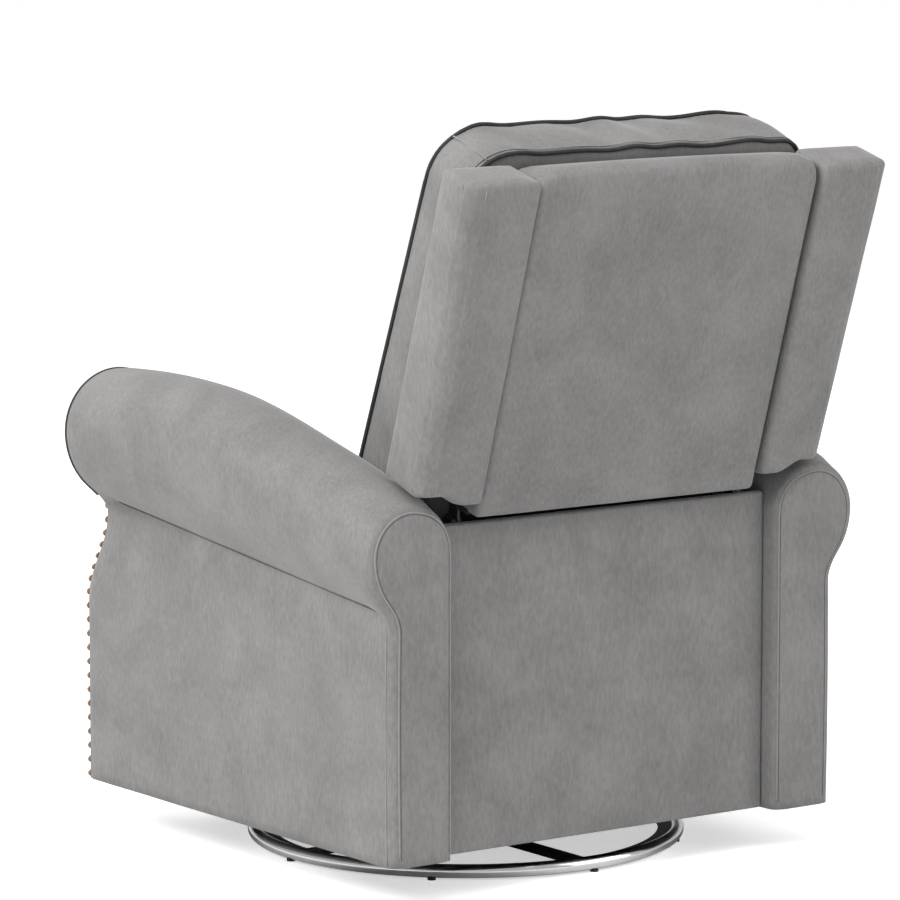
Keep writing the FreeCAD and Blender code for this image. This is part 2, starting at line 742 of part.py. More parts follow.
def facing_band(near, far):
    """Side view band in front of the ogee, from the casing's bottom to above the scroll."""
    back = ogee_curve(near)
    front = ogee_curve(far)
    top = size("roll_top_front")
    bottom = size("casing_bottom")
    edges = [Part.LineSegment(V(0, back[0].y, bottom), back[0]), Part.Arc(back[0], back[1], back[2]),
             Part.Arc(back[2], back[3], back[4]), Part.LineSegment(back[4], V(0, back[4].y, top)),
             Part.LineSegment(V(0, back[4].y, top), V(0, front[4].y, top)),
             Part.LineSegment(V(0, front[4].y, top), front[4]),
             Part.Arc(front[4], front[3], front[2]), Part.Arc(front[2], front[1], front[0]),
             Part.LineSegment(front[0], V(0, front[0].y, bottom)),
             Part.LineSegment(V(0, front[0].y, bottom), V(0, back[0].y, bottom))]
    face = Part.Face(Part.Wire([edge.toShape() for edge in edges]))
    reach = size("roll_outer_front")
    face.translate(V(-reach, 0, 0))
    return face.extrude(V(2 * reach, 0, 0))


def facing_solid(side):
    depth = size("roll_front") - size("arm_front") + 20
    face = facing_outline(side)
    face.translate(V(0, size("arm_front") - 10, 0))
    prism = face.extrude(V(0, depth, 0))
    return prism.common(facing_band(0, size("facing_thickness")))


def lever_pocket(extra):
    """Room for the bezel in the side of the right arm."""
    length = size("bezel_length") - 2 * size("bezel_lip") + 2 * extra
    height = size("bezel_height") - 2 * size("bezel_lip") + 2 * extra
    depth = size("bezel_depth") + extra
    return Part.makeBox(depth + 1, length, height,
                        V(-size("arm_outer") - 1, size("bezel_y") - length / 2,
                          size("bezel_z") - height / 2))


def arms():
    for side_name, side in SIDES:
        shape = arm_solid(side)
        if side < 0:
            shape = shape.cut(lever_pocket(0))
        keep(feature("arm_" + side_name, shape.removeSplitter()), side_name + "_arm")
        keep(feature("facing_" + side_name, facing_solid(side)), side_name + "_arm_facing")


# Release lever: a dished bezel in the arm and a round-headed paddle that pivots at its rear
def rounded_block(length, height, depth, radius, x):
    """Block with rounded corners in side view, from x towards +X."""
    solid = Part.makeBox(depth, length, height,
                         V(x, size("bezel_y") - length / 2, size("bezel_z") - height / 2))
    rim = [edge for edge in solid.Edges if edge.BoundBox.XLength > depth / 2]
    return solid.makeFillet(radius, rim)


lever_pivot_y = size("bezel_y") + size("bezel_length") / 2 - size("lever_inset")
lever_back_x = -size("arm_outer") + size("bezel_depth") - size("bezel_wall") - 2


def release_lever():
    outer = size("arm_outer")
    lip = size("bezel_lip")
    wall = size("bezel_wall")
    z = size("bezel_z")
    flange = rounded_block(size("bezel_length"), size("bezel_height"), lip, 14, -outer - lip)
    cup = rounded_block(size("bezel_length") - 2 * lip, size("bezel_height") - 2 * lip,
                        size("bezel_depth"), 1, -outer)
    hollow_height = size("bezel_height") - 2 * lip - 2 * wall
    hollow = rounded_block(size("bezel_length") - 2 * lip - 2 * wall, hollow_height,
                           size("bezel_depth") + lip - wall, 10, -outer - lip)
    keep(feature("bezel", flange.fuse([cup]).cut(hollow)), "lever_bezel")

    thickness = size("lever_thickness")
    pin_x = lever_back_x - thickness / 2
    pin = Part.makeCylinder(size("lever_pin_radius"), hollow_height,
                            V(pin_x, lever_pivot_y, z - hollow_height / 2), V(0, 0, 1))
    keep(feature("lever_pin_shank", pin), "lever_pin")

    head_y = lever_pivot_y - size("lever_length")
    low_x = lever_back_x - thickness
    head = Part.makeCylinder(size("lever_head_radius"), thickness, V(low_x, head_y, z), V(1, 0, 0))
    dish = Part.makeCylinder(size("lever_head_radius") - size("lever_rim"), size("lever_dish"),
                             V(low_x, head_y, z), V(1, 0, 0))
    tall = size("lever_hub")
    hub = Part.makeCylinder(thickness / 2, tall, V(pin_x, lever_pivot_y, z - tall / 2), V(0, 0, 1))
    neck = Part.makeBox(thickness, size("lever_length"), size("lever_neck"),
                        V(low_x, head_y, z - size("lever_neck") / 2))
    bore = Part.makeCylinder(size("lever_pin_radius") + size("pin_gap"), tall,
                             V(pin_x, lever_pivot_y, z - tall / 2), V(0, 0, 1))
    paddle = head.fuse([hub, neck]).cut(bore).cut(dish).removeSplitter()
    keep(feature("paddle", paddle), "release_lever")


# Cushion forms: rounded rectangles stacked and lofted, drawn in at the seams and crowned
def rounded_rectangle(half_x, half_y, corner, z):
    radius = min(corner, half_x - 1, half_y - 1)
    edges = []
    quarter = radius * (1 - math.sqrt(0.5))
    corners = [(half_x, half_y), (-half_x, half_y), (-half_x, -half_y), (half_x, -half_y)]
    arcs = []
    for cx, cy in corners:
        sx = 1 if cx > 0 else -1
        sy = 1 if cy > 0 else -1
        on_side = V(cx, cy - sy * radius, z)
        on_end = V(cx - sx * radius, cy, z)
        bend = V(cx - sx * quarter, cy - sy * quarter, z)
        arcs.append((on_side, bend, on_end) if sx * sy > 0 else (on_end, bend, on_side))
    for i, (a, b, c) in enumerate(arcs):
        edges.append(Part.Arc(a, b, c))
        edges.append(Part.LineSegment(c, arcs[(i + 1) % 4][0]))
    return Part.Wire([edge.toShape() for edge in edges])


def pillow(half_x, half_y, corner, depth, crown, draw):
    """A boxed cushion lying on Z = 0: its sides draw in at half depth and its top is crowned."""
    levels = [(0, draw), (depth * 0.25, 0.3 * draw), (depth * 0.75, 0.3 * draw), (depth, draw)]
    body = Part.makeLoft([rounded_rectangle(half_x - inset, half_y - inset, corner, z)
                          for z, inset in levels], True, False)
    dome = []
    reach = min(half_x, half_y) - draw
    for share, rise in ((0, 0), (0.1, 0.46), (0.28, 0.82), (0.55, 1)):
        inset = draw + reach * share
        dome.append(rounded_rectangle(half_x - inset, half_y - inset, max(corner, 10),
                                      depth + crown * rise))
    return body.fuse([Part.makeLoft(dome, True, False)])


def seat():
    half_length = (size("seat_rear") - size("seat_front")) / 2
    bottom = frame_top + size("webbing_thickness") + size("soft_gap")
    middle = (size("seat_rear") + size("seat_front")) / 2
    cushion = pillow(size("seat_half_width"), half_length, 26, size("seat_welt") - bottom,
                     size("seat_crown"), 4)
    keep(feature("seat_pillow", cushion, FreeCAD.Placement(V(0, middle, bottom), FreeCAD.Rotation())),
         "seat_cushion")

    height = frame_top - size("band_bottom")
    band = pillow(size("seat_half_width"), height / 2, 6, size("band_thickness") - 3, 3, 2)
    upright = FreeCAD.Rotation(V(1, 0, 0), 90)
    back = size("frame_front") - size("soft_gap")
    keep(feature("band_pillow", band,
                 FreeCAD.Placement(V(0, back, size("band_bottom") + height / 2), upright)),
         "seat_front_band")


def footrest():
    middle = (size("footrest_bottom") + size("footrest_top")) / 2
    height = size("footrest_top") - size("footrest_bottom")
    board_back = size("seat_front") + size("footrest_pad") + size("footrest_board") + 3
    board = box("board", "2*(Sizes.seat_half_width-12)", "Sizes.footrest_board",
                "Sizes.footrest_top-Sizes.footrest_bottom-16", "-(Sizes.seat_half_width-12)",
                "Sizes.seat_front+Sizes.footrest_pad+3", "Sizes.footrest_bottom+8")
    keep(board, "footrest_board")
    pad = pillow(size("seat_half_width"), height / 2, 18, size("footrest_pad"),
                 3 - size("soft_gap"), 3)
    upright = FreeCAD.Rotation(V(1, 0, 0), 90)
    face = board_back - size("footrest_board") - size("soft_gap")
    keep(feature("pad_pillow", pad, FreeCAD.Placement(V(0, face, middle), upright)), "footrest_pad")

    ear = size("link_half_width") + 2
    corners = [(panel_pivot[0] + ear, panel_pivot[1] - ear), (board_back, panel_pivot[1] - 30),
               (board_back, steer_end[1] + ear), (steer_end[0] + ear, steer_end[1] + ear)]
    holes = [(p[0], p[1], size("rivet_radius") + size("pin_gap")) for p in (panel_pivot, steer_end)]
    brackets = []
    for side_name, side in SIDES:
        web = sketch_plate("ear_" + side_name, side, "Sizes.outer_layer", "Sizes.link_plate",
                           polygon(corners), holes)
        foot = box("ear_foot_" + side_name, "24", "2.5", "60",
                   start_x(side, "Sizes.outer_layer-20.5", "24"), "%f-2.5" % (board_back + 2.5),
                   "%f" % (panel_pivot[1] - 20))
        brackets.append(fuse("ear_fused_" + side_name, [web, foot]))
    keep(group("ears_group", brackets), "footrest_brackets")


def rivet(name, side, point, reach, inner_head, outer_head):
    """A rivet through stacked layers, with a head on the faces that ask for one."""
    head = size("rivet_head")
    first, last = reach
    low = first if side > 0 else -last
    length = last - first
    solid = Part.makeCylinder(size("rivet_radius"), length, V(low, point[0], point[1]), V(1, 0, 0))
    ends = (low - head, low + length) if side > 0 else (low + length, low - head)
    for x, wanted in zip(ends, (inner_head, outer_head)):
        if wanted:
            solid = solid.fuse([Part.makeCylinder(size("rivet_head_radius"), head,
                                                  V(x, point[0], point[1]), V(1, 0, 0))])
    return feature(name, solid.removeSplitter())


# Footrest linkage: two parallelograms on each side, so the panel turns with the drive link
def linkage():
    half = size("link_half_width")
    plate = size("link_plate")
    tight = size("rivet_radius")
    loose = tight + size("pin_gap")
    gap = size("running_gap")
    outer = size("outer_layer")
    middle = size("middle_layer")
    inner = size("inner_layer")
    drive_plates = []
    drive_rivets = []
    partner_pins = []
    for side_name, side in SIDES:
        drive_holes = [(drive[0], drive[1], tight), (steer_start[0], steer_start[1], tight),
                       (drive_foot[0], drive_foot[1], tight)]
        drive_plates.append(sketch_plate("drive_link_" + side_name, side, "Sizes.outer_layer",
                                         "Sizes.link_plate", bar_edges([drive, drive_foot], half),
                                         drive_holes))
        partner_holes = [(partner[0], partner[1], loose), (partner_foot[0], partner_foot[1], loose)]
        keep(sketch_plate("partner_link_" + side_name, side, "Sizes.inner_layer", "Sizes.link_plate",
                          bar_edges([partner, partner_knee, partner_foot], half), partner_holes),
             side_name + "_partner_link")
        bar_holes = [(drive_foot[0], drive_foot[1], loose), (partner_foot[0], partner_foot[1], tight),
                     (panel_pivot[0], panel_pivot[1], tight)]
        keep(sketch_plate("scissor_bar_" + side_name, side, "Sizes.middle_layer", "Sizes.link_plate",
                          bar_edges([drive_foot, partner_foot, panel_pivot], half), bar_holes),
             side_name + "_scissor_bar")
        steer_holes = [(steer_start[0], steer_start[1], loose), (steer_end[0], steer_end[1], tight)]
        keep(sketch_plate("steering_link_" + side_name, side, "Sizes.middle_layer",
                          "Sizes.link_plate", bar_edges([steer_start, steer_end], half),
                          steer_holes), side_name + "_steering_link")
        drive_rivets.append(rivet("foot_rivet", side, drive_foot, (middle - gap, outer + plate),
                                  True, True))
        drive_rivets.append(rivet("steer_start_rivet", side, steer_start, (middle, outer + plate),
                                  False, True))
        bar_rivets = [rivet("knee_rivet", side, partner_foot, (inner - gap, middle + plate), True,
                            False),
                      rivet("panel_rivet", side, panel_pivot, (middle, outer + plate + gap), True,
                            True)]
        keep(group("scissor_rivets_" + side_name, bar_rivets), side_name + "_scissor_rivets")
        keep(rivet("steer_rivet", side, steer_end, (middle, outer + plate + gap), True, True),
             side_name + "_steering_rivet")
        pin = rivet("partner_pin", side, partner,
                    (inner - gap, size("side_plate_inner") + size("side_plate")), True, False)
        low = inner + plate + gap
        spacer = Part.makeCylinder(size("rivet_head_radius"), size("side_plate_inner") - low,
                                   V(low if side > 0 else -size("side_plate_inner"), partner[0],
                                     partner[1]), V(1, 0, 0))
        pin.Shape = pin.Shape.fuse([spacer]).removeSplitter()
        partner_pins.append(pin)
    keep(group("drive_plates_group", drive_plates), "drive_links")
    keep(group("drive_rivets_group", drive_rivets), "drive_link_rivets")
    keep(group("partner_pins_group", partner_pins), "partner_pivot_pins")

    tube = rod("torque_tube_body", "Sizes.torque_tube_radius", "-Sizes.outer_layer",
               "2*Sizes.outer_layer", "Sizes.drive_pivot_y", "Sizes.drive_pivot_z")
    shaft = rod("torque_shaft", "Sizes.rivet_radius", "-(Sizes.side_plate_inner+Sizes.side_plate)",
                "2*(Sizes.side_plate_inner+Sizes.side_plate)", "Sizes.drive_pivot_y",
                "Sizes.drive_pivot_z")
    keep(fuse("torque_tube_fused", [tube, shaft]), "torque_tube")


# Back: everything is drawn upright and then tilted about the foot of its rear plane
def back_placement():
    return FreeCAD.Placement(V(0, size("back_base_y"), size("back_base_z")),
                             FreeCAD.Rotation(V(1, 0, 0), -size("back_tilt")))


def to_back(y, z):
    """Chair coordinates to the back's own depth and length."""
    local = back_placement().inverse().multVec(V(0, y, z))
    return local.y, local.z


def wing_section(t, side, outer, depth):
    """Section of a wing across its length: rounded at the rear and front outer corners."""
    inner = size("wing_inner")
    rear_r = size("wing_edge_radius")
    front_r = rear_r / 2
    k = 1 - math.sqrt(0.5)

    def point(x, n):
        return V(side * x, n, t)

    edges = [Part.LineSegment(point(inner, -depth), point(outer - front_r, -depth)),
             Part.Arc(point(outer - front_r, -depth), point(outer - front_r * k, -depth + front_r * k),
                      point(outer, -depth + front_r)),
             Part.LineSegment(point(outer, -depth + front_r), point(outer, -rear_r)),
             Part.Arc(point(outer, -rear_r), point(outer - rear_r * k, -rear_r * k),
                      point(outer - rear_r, 0)),
             Part.LineSegment(point(outer - rear_r, 0), point(inner, 0)),
             Part.LineSegment(point(inner, 0), point(inner, -depth))]
    return Part.Wire([edge.toShape() for edge in edges])


def wing_solid(side):
    low = wing_section(0, side, size("wing_outer_low"), size("wing_depth_low"))
    high = wing_section(size("wing_length"), side, size("wing_outer_high"), size("wing_depth_high"))
    column = Part.makeLoft([low, high], True, True)
    reach = 1.1 * size("wing_outer_high")
    depth = size("wing_length")
    over_arm = Part.makeBox(2 * reach, depth, depth,
                            V(-reach, size("arm_rear") + size("wing_arm_gap") - depth,
                              size("back_base_z") + size("wing_lip_height") - depth))
    step = over_arm.transformGeometry(back_placement().inverse().toMatrix())
    return column.cut(step)


def panel_outline(inset, n):
    """Outline of the outside back: straight sides, round shoulders and a gently bowed top."""
    half = size("panel_half_width") - inset
    low = size("panel_bottom") + inset
    shoulder = size("panel_corner_top") - inset
    top = size("panel_middle_top") - inset
    corner = 40

    def point(x, t):
        return V(x, n, t)

    edges = [Part.LineSegment(point(-half, low), point(half, low)),
             Part.LineSegment(point(half, low), point(half, shoulder - corner)),
             Part.Arc(point(half, shoulder - corner), point(half - 11, shoulder - 8),
                      point(half - corner, shoulder + 12)),
             Part.Arc(point(half - corner, shoulder + 12), point(0, top),
                      point(-half + corner, shoulder + 12)),
             Part.Arc(point(-half + corner, shoulder + 12), point(-half + 11, shoulder - 8),
                      point(-half, shoulder - corner)),
             Part.LineSegment(point(-half, shoulder - corner), point(-half, low))]
    return Part.Wire([edge.toShape() for edge in edges])


def centre_panel():
    rear = -size("panel_setback")
    radius = 9
    sections = [panel_outline(0, rear - size("panel_depth"))]
    for step in range(4):
        angle = math.radians(90 * step / 3)
        sections.append(panel_outline(radius * (1 - math.cos(angle)),
                                      rear - radius * (1 - math.sin(angle))))
    return Part.makeLoft(sections, True, True)


def back():
    place = back_placement()
    for side_name, side in SIDES:
        keep(feature("wing_" + side_name, wing_solid(side), place), side_name + "_wing")
    keep(feature("outside_back", centre_panel(), place), "outside_back_panel")

    front = -size("panel_setback") - size("panel_depth") - size("post_depth")
    posts = []
    inner = size("wing_inner")
    wood = size("post_width")
    for side in (1, -1):
        start = inner - wood if side > 0 else -inner
        posts.append(Part.makeBox(wood, size("post_depth"), size("post_top") - size("post_bottom"),
                                  V(start, front, size("post_bottom"))))
    rails = []
    tall = size("back_rail_height")
    for low in (size("back_rail_low"), (size("post_bottom") + size("post_top")) / 2,
                size("post_top") - tall):
        rails.append(Part.makeBox(2 * (inner - wood), size("post_depth"), tall,
                                  V(-(inner - wood), front, low)))
    keep(feature("back_timber", posts[0].fuse([posts[1]] + rails).removeSplitter(), place),
         "back_frame")

    cushion_turn = FreeCAD.Rotation(V(1, 0, 0), -size("cushion_tilt"))
    lay = FreeCAD.Rotation(V(1, 0, 0), 90)
    half = size("cushion_length") / 2
    foot = FreeCAD.Placement(V(0, size("cushion_base_y"), size("cushion_base_z")), cushion_turn)
    centre = FreeCAD.Placement(V(0, size("cushion_depth"), half), lay)
    shape = pillow(size("cushion_half_width"), half, size("cushion_corner"), size("cushion_depth"),
                   size("cushion_crown"), 5)
    keep(feature("cushion_pillow", shape, foot.multiply(centre)), "back_cushion")

    rear_low = foot.multVec(V(0, size("cushion_depth") + size("soft_gap"), 40))
    rear_high = foot.multVec(V(0, size("cushion_depth") + size("soft_gap"), 2 * half - 60))
    low_n, low_t = to_back(rear_low.y, rear_low.z)
    high_n, high_t = to_back(rear_high.y, rear_high.z)
    high_t = min(high_t, size("post_top"))
    wedge = Part.makePolygon([V(0, low_n, low_t), V(0, front, low_t), V(0, front, high_t),
                              V(0, high_n, high_t), V(0, low_n, low_t)])
    pad = Part.Face(wedge)
    pad_half = inner - 8
    pad.translate(V(-pad_half, 0, 0))
    keep(feature("pad_wedge", pad.extrude(V(2 * pad_half, 0, 0)), place), "back_foam_pad")


# Back hinge: a plate on each post, a spacer and a pin to the side plate
def back_hinge():
    hinge = V(0, size("back_pivot_y"), size("back_pivot_z"))
    place = back_placement()
    front = -size("panel_setback") - size("panel_depth") - size("post_depth")
    margin = size("hinge_margin")
    eye = size("hinge_eye")
    foot = size("post_bottom") + margin
    head = foot + size("hinge_reach")
    rear = front + size("post_depth")
    low = place.multVec(V(0, front + margin, foot))
    low_rear = place.multVec(V(0, rear - 3 * margin, foot))
    high = place.multVec(V(0, front + margin, head))
    high_rear = place.multVec(V(0, rear - margin, head))
    corners = [(hinge.y - eye, hinge.z), (hinge.y, hinge.z - eye), (hinge.y + eye, hinge.z),
               (low_rear.y, low_rear.z), (high_rear.y, high_rear.z), (high.y, high.z),
               (low.y, low.z)]
    holes = [(hinge.y, hinge.z, size("hinge_pin_radius") + size("pin_gap"))]
    plates = []
    pins = []
    plate = size("bracket_plate")
    inner = size("wing_inner")
    outer = size("side_plate_inner") + size("side_plate")
    for side_name, side in SIDES:
        plates.append(sketch_plate("back_ear_" + side_name, side, "Sizes.wing_inner",
                                   "Sizes.bracket_plate", polygon(corners), holes))
        x = inner - size("running_gap") if side > 0 else -outer
        length = outer - inner + size("running_gap")
        shank = Part.makeCylinder(size("hinge_pin_radius"), length, V(x, hinge.y, hinge.z), V(1, 0, 0))
        head_x = x - size("hinge_head") if side > 0 else x + length
        head = Part.makeCylinder(size("hinge_head_radius"), size("hinge_head"),
                                 V(head_x, hinge.y, hinge.z), V(1, 0, 0))
        collar_low = inner + plate + size("running_gap")
        collar_x = collar_low if side > 0 else -size("side_plate_inner")
        collar = Part.makeCylinder(size("hinge_collar_radius"), size("side_plate_inner") - collar_low,
                                   V(collar_x, hinge.y, hinge.z), V(1, 0, 0))
        pins.append(feature("hinge_pin_" + side_name, shank.fuse([head, collar]).removeSplitter()))
    keep(group("back_ears_group", plates), "back_hinge_plates")
    keep(group("hinge_pins_group", pins), "back_hinge_pins")


def tail_panel():
    half = "(Sizes.arm_inner-Sizes.soft_gap)"
    keep(box("tail", "2*" + half, "Sizes.tail_thickness", "Sizes.tail_top-Sizes.casing_bottom",
             "-" + half, "Sizes.tail_rear-Sizes.tail_thickness", "Sizes.casing_bottom"),
         "lower_back_panel")


base()
bearing()
glider_frame()
glide_links()
carriage()
arms()
release_lever()
seat()
footrest()
linkage()
back()
back_hinge()
tail_panel()
doc.recompute()

# Origin on the floor, under the middle of the chair's depth
low_y = min(obj.Shape.BoundBox.YMin for obj in parts)
high_y = max(obj.Shape.BoundBox.YMax for obj in parts)
axis_y = -(low_y + high_y) / 2
print("swivel axis at y =", round(axis_y, 3))
for obj in parts:
    moved = FreeCAD.Placement(V(0, axis_y, 0), FreeCAD.Rotation()).multiply(obj.Placement)
    for path, formula in list(obj.ExpressionEngine):
        if path in ("Placement.Base.y", ".Placement.Base.y"):
            obj.setExpression("Placement.Base.y", "(%s)+(%.6f)" % (formula, axis_y))
    obj.Placement = moved
doc.recompute()

# Every object must have built, and every sub-part must be a valid solid, before anything is written
for obj in doc.Objects:
    bad = [word for word in obj.State if word in ("Invalid", "Error")]
    if bad:
        raise RuntimeError("%s (%s) failed: %s" % (obj.Name, obj.Label, bad))
for obj in parts:
    if obj.Shape.isNull() or not obj.Shape.isValid() or obj.Shape.Volume <= 0:
        raise RuntimeError("%s has no valid solid" % obj.Label)
os.makedirs("parts", exist_ok=True)
for obj in parts:
    obj.Shape.exportStep("parts/" + obj.Label + ".step")
print(len(parts), "sub-parts written")
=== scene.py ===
import bmesh
import bpy
import json
import math
from mathutils import Matrix, Vector, kdtree, noise


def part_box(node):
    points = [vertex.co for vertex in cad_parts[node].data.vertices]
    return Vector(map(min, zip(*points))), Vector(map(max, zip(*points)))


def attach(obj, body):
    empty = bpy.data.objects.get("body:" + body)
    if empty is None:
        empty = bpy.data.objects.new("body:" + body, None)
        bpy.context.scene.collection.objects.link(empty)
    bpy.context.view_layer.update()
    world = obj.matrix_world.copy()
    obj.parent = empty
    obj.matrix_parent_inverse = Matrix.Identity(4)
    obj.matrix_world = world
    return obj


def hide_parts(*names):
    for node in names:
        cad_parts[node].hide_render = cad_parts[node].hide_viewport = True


# Upholstery, finishes, light and camera for the swivel glider recliner.
# Lengths are written in millimetres in the chair's own measures: x to the sitter's left, y from the
# swivel axis towards the rear, z from the floor. place() turns them into metres in the row frame.

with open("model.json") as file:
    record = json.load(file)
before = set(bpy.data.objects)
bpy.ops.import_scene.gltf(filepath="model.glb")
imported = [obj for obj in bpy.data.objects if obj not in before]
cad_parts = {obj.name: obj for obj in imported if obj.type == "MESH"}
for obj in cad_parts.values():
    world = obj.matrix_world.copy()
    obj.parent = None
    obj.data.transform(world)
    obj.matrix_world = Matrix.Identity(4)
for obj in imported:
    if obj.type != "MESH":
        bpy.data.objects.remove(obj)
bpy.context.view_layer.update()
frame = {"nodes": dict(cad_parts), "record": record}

AXIS_Y = -43.636


def place(x, y, z):
    return Vector((x / 1000, (y + AXIS_Y) / 1000, z / 1000))


def lean(base_y, base_z, degrees):
    """Frame of a leaning part: (x, n, t) with n across its depth and t up its length."""
    turn = math.radians(degrees)
    c, s = math.cos(turn), math.sin(turn)

    def to_row(x, n, t):
        return place(x, base_y + n * c + t * s, base_z - n * s + t * c)
    return to_row


# Foot of the back's rear plane and of the cushion's front plane, and how far they lean
BACK_Y, BACK_Z, BACK_LEAN = 362, 536, 15.8
CUSHION_Y, CUSHION_Z, CUSHION_LEAN = 94.8, 494, 21.4
to_back = lean(BACK_Y, BACK_Z, BACK_LEAN)
to_cushion = lean(CUSHION_Y, CUSHION_Z, CUSHION_LEAN)


def clamp(value, low, high):
    return max(low, min(high, value))


def smooth(t):
    t = clamp(t, 0, 1)
    return t * t * (3 - 2 * t)


def wave(p, scale, seed=0.0):
    """Soft irregularity between about -1 and 1, the same on every run."""
    return noise.noise(Vector((p[0] * scale + seed, p[1] * scale - seed, p[2] * scale + 2 * seed)))


# Materials
def tree_of(name):
    mat = bpy.data.materials.new(name)
    mat.use_nodes = True
    nodes = mat.node_tree.nodes
    return mat, nodes, mat.node_tree.links, nodes["Principled BSDF"]


def feed(node, values):
    """Sets a node's inputs by name."""
    for key, value in values.items():
        node.inputs[key].default_value = value


def mixed(nodes, links, factor, a, b):
    """Colour between a and b at the factor that a socket gives."""
    mix = nodes.new("ShaderNodeMix")
    mix.data_type = "RGBA"
    feed(mix, {"A": (*a, 1), "B": (*b, 1)})
    links.new(factor, mix.inputs["Factor"])
    return mix.outputs["Result"]


def noise_at(nodes, links, where, scale, detail):
    """Noise texture on the coordinates that the socket where gives."""
    texture = nodes.new("ShaderNodeTexNoise")
    feed(texture, {"Scale": scale, "Detail": detail})
    links.new(where, texture.inputs["Vector"])
    return texture


def stretched(nodes, links, where, scales):
    """The coordinates that the socket where gives, scaled along each axis."""
    mapping = nodes.new("ShaderNodeMapping")
    mapping.inputs["Scale"].default_value = scales
    links.new(where, mapping.inputs["Vector"])
    return mapping.outputs["Vector"]


def velvet(name, dark, light, sheen=0.35, bump=0.25):
    """Brushed pile: broad soft patches, fine streaks and a short nap."""
    mat, nodes, links, shader = tree_of(name)
    where = nodes.new("ShaderNodeTexCoord").outputs["Object"]
    patches = noise_at(nodes, links, where, 11.0, 5.0)
    feed(patches, {"Roughness": 0.55, "Distortion": 0.4})
    streaks = noise_at(nodes, links, stretched(nodes, links, where, (1.0, 1.0, 0.35)), 260.0, 2.0)
    nap = noise_at(nodes, links, where, 900.0, 1.0)
    ramp = nodes.new("ShaderNodeMapRange")
    feed(ramp, {"From Min": 0.32, "From Max": 0.70})
    links.new(patches.outputs["Fac"], ramp.inputs["Value"])
    add = nodes.new("ShaderNodeMath")
    add.operation = "MULTIPLY_ADD"
    add.inputs[1].default_value = 1.0
    links.new(streaks.outputs["Fac"], add.inputs[0])
    scale = nodes.new("ShaderNodeMath")
    scale.operation = "MULTIPLY"
    scale.inputs[1].default_value = 0.44
    links.new(ramp.outputs["Result"], scale.inputs[0])
    links.new(scale.outputs["Value"], add.inputs[2])
    links.new(mixed(nodes, links, add.outputs["Value"], dark, light), shader.inputs["Base Color"])
    feed(shader, {"Roughness": 0.85, "Specular IOR Level": 0.15, "Sheen Weight": sheen,
                  "Sheen Roughness": 0.35, "Sheen Tint": (0.75, 0.74, 0.74, 1)})
    height = nodes.new("ShaderNodeBump")
    feed(height, {"Strength": bump, "Distance": 0.0006})
    links.new(nap.outputs["Fac"], height.inputs["Height"])
    links.new(height.outputs["Normal"], shader.inputs["Normal"])
    return mat


def hard(name, colour, metal, rough, spread=0.06, scale=40.0):
    """Metal, paint, plastic or rubber, with a little variation in tone and roughness."""
    mat, nodes, links, shader = tree_of(name)
    grain = noise_at(nodes, links, nodes.new("ShaderNodeTexCoord").outputs["Object"], scale, 3.0)
    span = nodes.new("ShaderNodeMapRange")
    feed(span, {"To Min": max(rough - spread, 0.02), "To Max": rough + spread})
    links.new(grain.outputs["Fac"], span.inputs["Value"])
    links.new(span.outputs["Result"], shader.inputs["Roughness"])
    darker = tuple(0.88 * c for c in colour)
    tone = mixed(nodes, links, grain.outputs["Fac"], darker, colour)
    links.new(tone, shader.inputs["Base Color"])
    shader.inputs["Metallic"].default_value = metal
    return mat


def timber(name, dark, light):
    """Planed wood with its grain along x."""
    mat, nodes, links, shader = tree_of(name)
    where = nodes.new("ShaderNodeTexCoord").outputs["Object"]
    rings = noise_at(nodes, links, stretched(nodes, links, where, (4.0, 40.0, 40.0)), 1.6, 6.0)
    links.new(mixed(nodes, links, rings.outputs["Fac"], dark, light), shader.inputs["Base Color"])
    shader.inputs["Roughness"].default_value = 0.7
    return mat


def woven(name, dark, light):
    """Plain weave of two yarns."""
    mat, nodes, links, shader = tree_of(name)
    where = nodes.new("ShaderNodeTexCoord").outputs["Object"]
    weave = nodes.new("ShaderNodeTexChecker")
    feed(weave, {"Scale": 400.0, "Color1": (*dark, 1), "Color2": (*light, 1)})
    links.new(where, weave.inputs["Vector"])
    links.new(weave.outputs["Color"], shader.inputs["Base Color"])
    shader.inputs["Roughness"].default_value = 0.9
    return mat


VELVET = velvet("grey_velvet", (0.124, 0.122, 0.120), (0.226, 0.222, 0.219))
PIPING = velvet("dark_piping", (0.020, 0.020, 0.020), (0.050, 0.050, 0.050), sheen=0.1)
# Painted highlight: a lighter, glossier copy of the velvet for the lit ridges of seams, welts and
# mitres
SEAM_HIGHLIGHT = velvet("seam_highlight_velvet", (0.190, 0.187, 0.185), (0.260, 0.255, 0.252), sheen=0.4)
# Painted shade: a darker copy of the velvet for the shadow lines in creases and seam valleys
SEAM_SHADOW = velvet("seam_shadow_velvet", (0.065, 0.064, 0.063), (0.100, 0.098, 0.096), sheen=0.2)
COVER = velvet("dust_cover", (0.010, 0.010, 0.010), (0.025, 0.025, 0.025), sheen=0.05)
NAIL = hard("antique_nailhead", (0.36, 0.215, 0.125), 1.0, 0.34, 0.10, 300.0)
CHROME = hard("chrome", (0.80, 0.80, 0.80), 1.0, 0.12, 0.03)
BLACK = hard("black_steel", (0.012, 0.012, 0.012), 0.0, 0.42)
ZINC = hard("zinc_steel", (0.46, 0.47, 0.48), 1.0, 0.36)
NYLON = hard("nylon", (0.55, 0.55, 0.52), 0.0, 0.45)
RUBBER = hard("black_rubber", (0.020, 0.020, 0.020), 0.0, 0.75)
PLASTIC = hard("charcoal_plastic", (0.022, 0.022, 0.023), 0.0, 0.38, 0.05, 200.0)
WOOD = timber("timber", (0.26, 0.16, 0.08), (0.45, 0.31, 0.18))
STRAP = woven("webbing_weave", (0.06, 0.05, 0.04), (0.16, 0.14, 0.11))

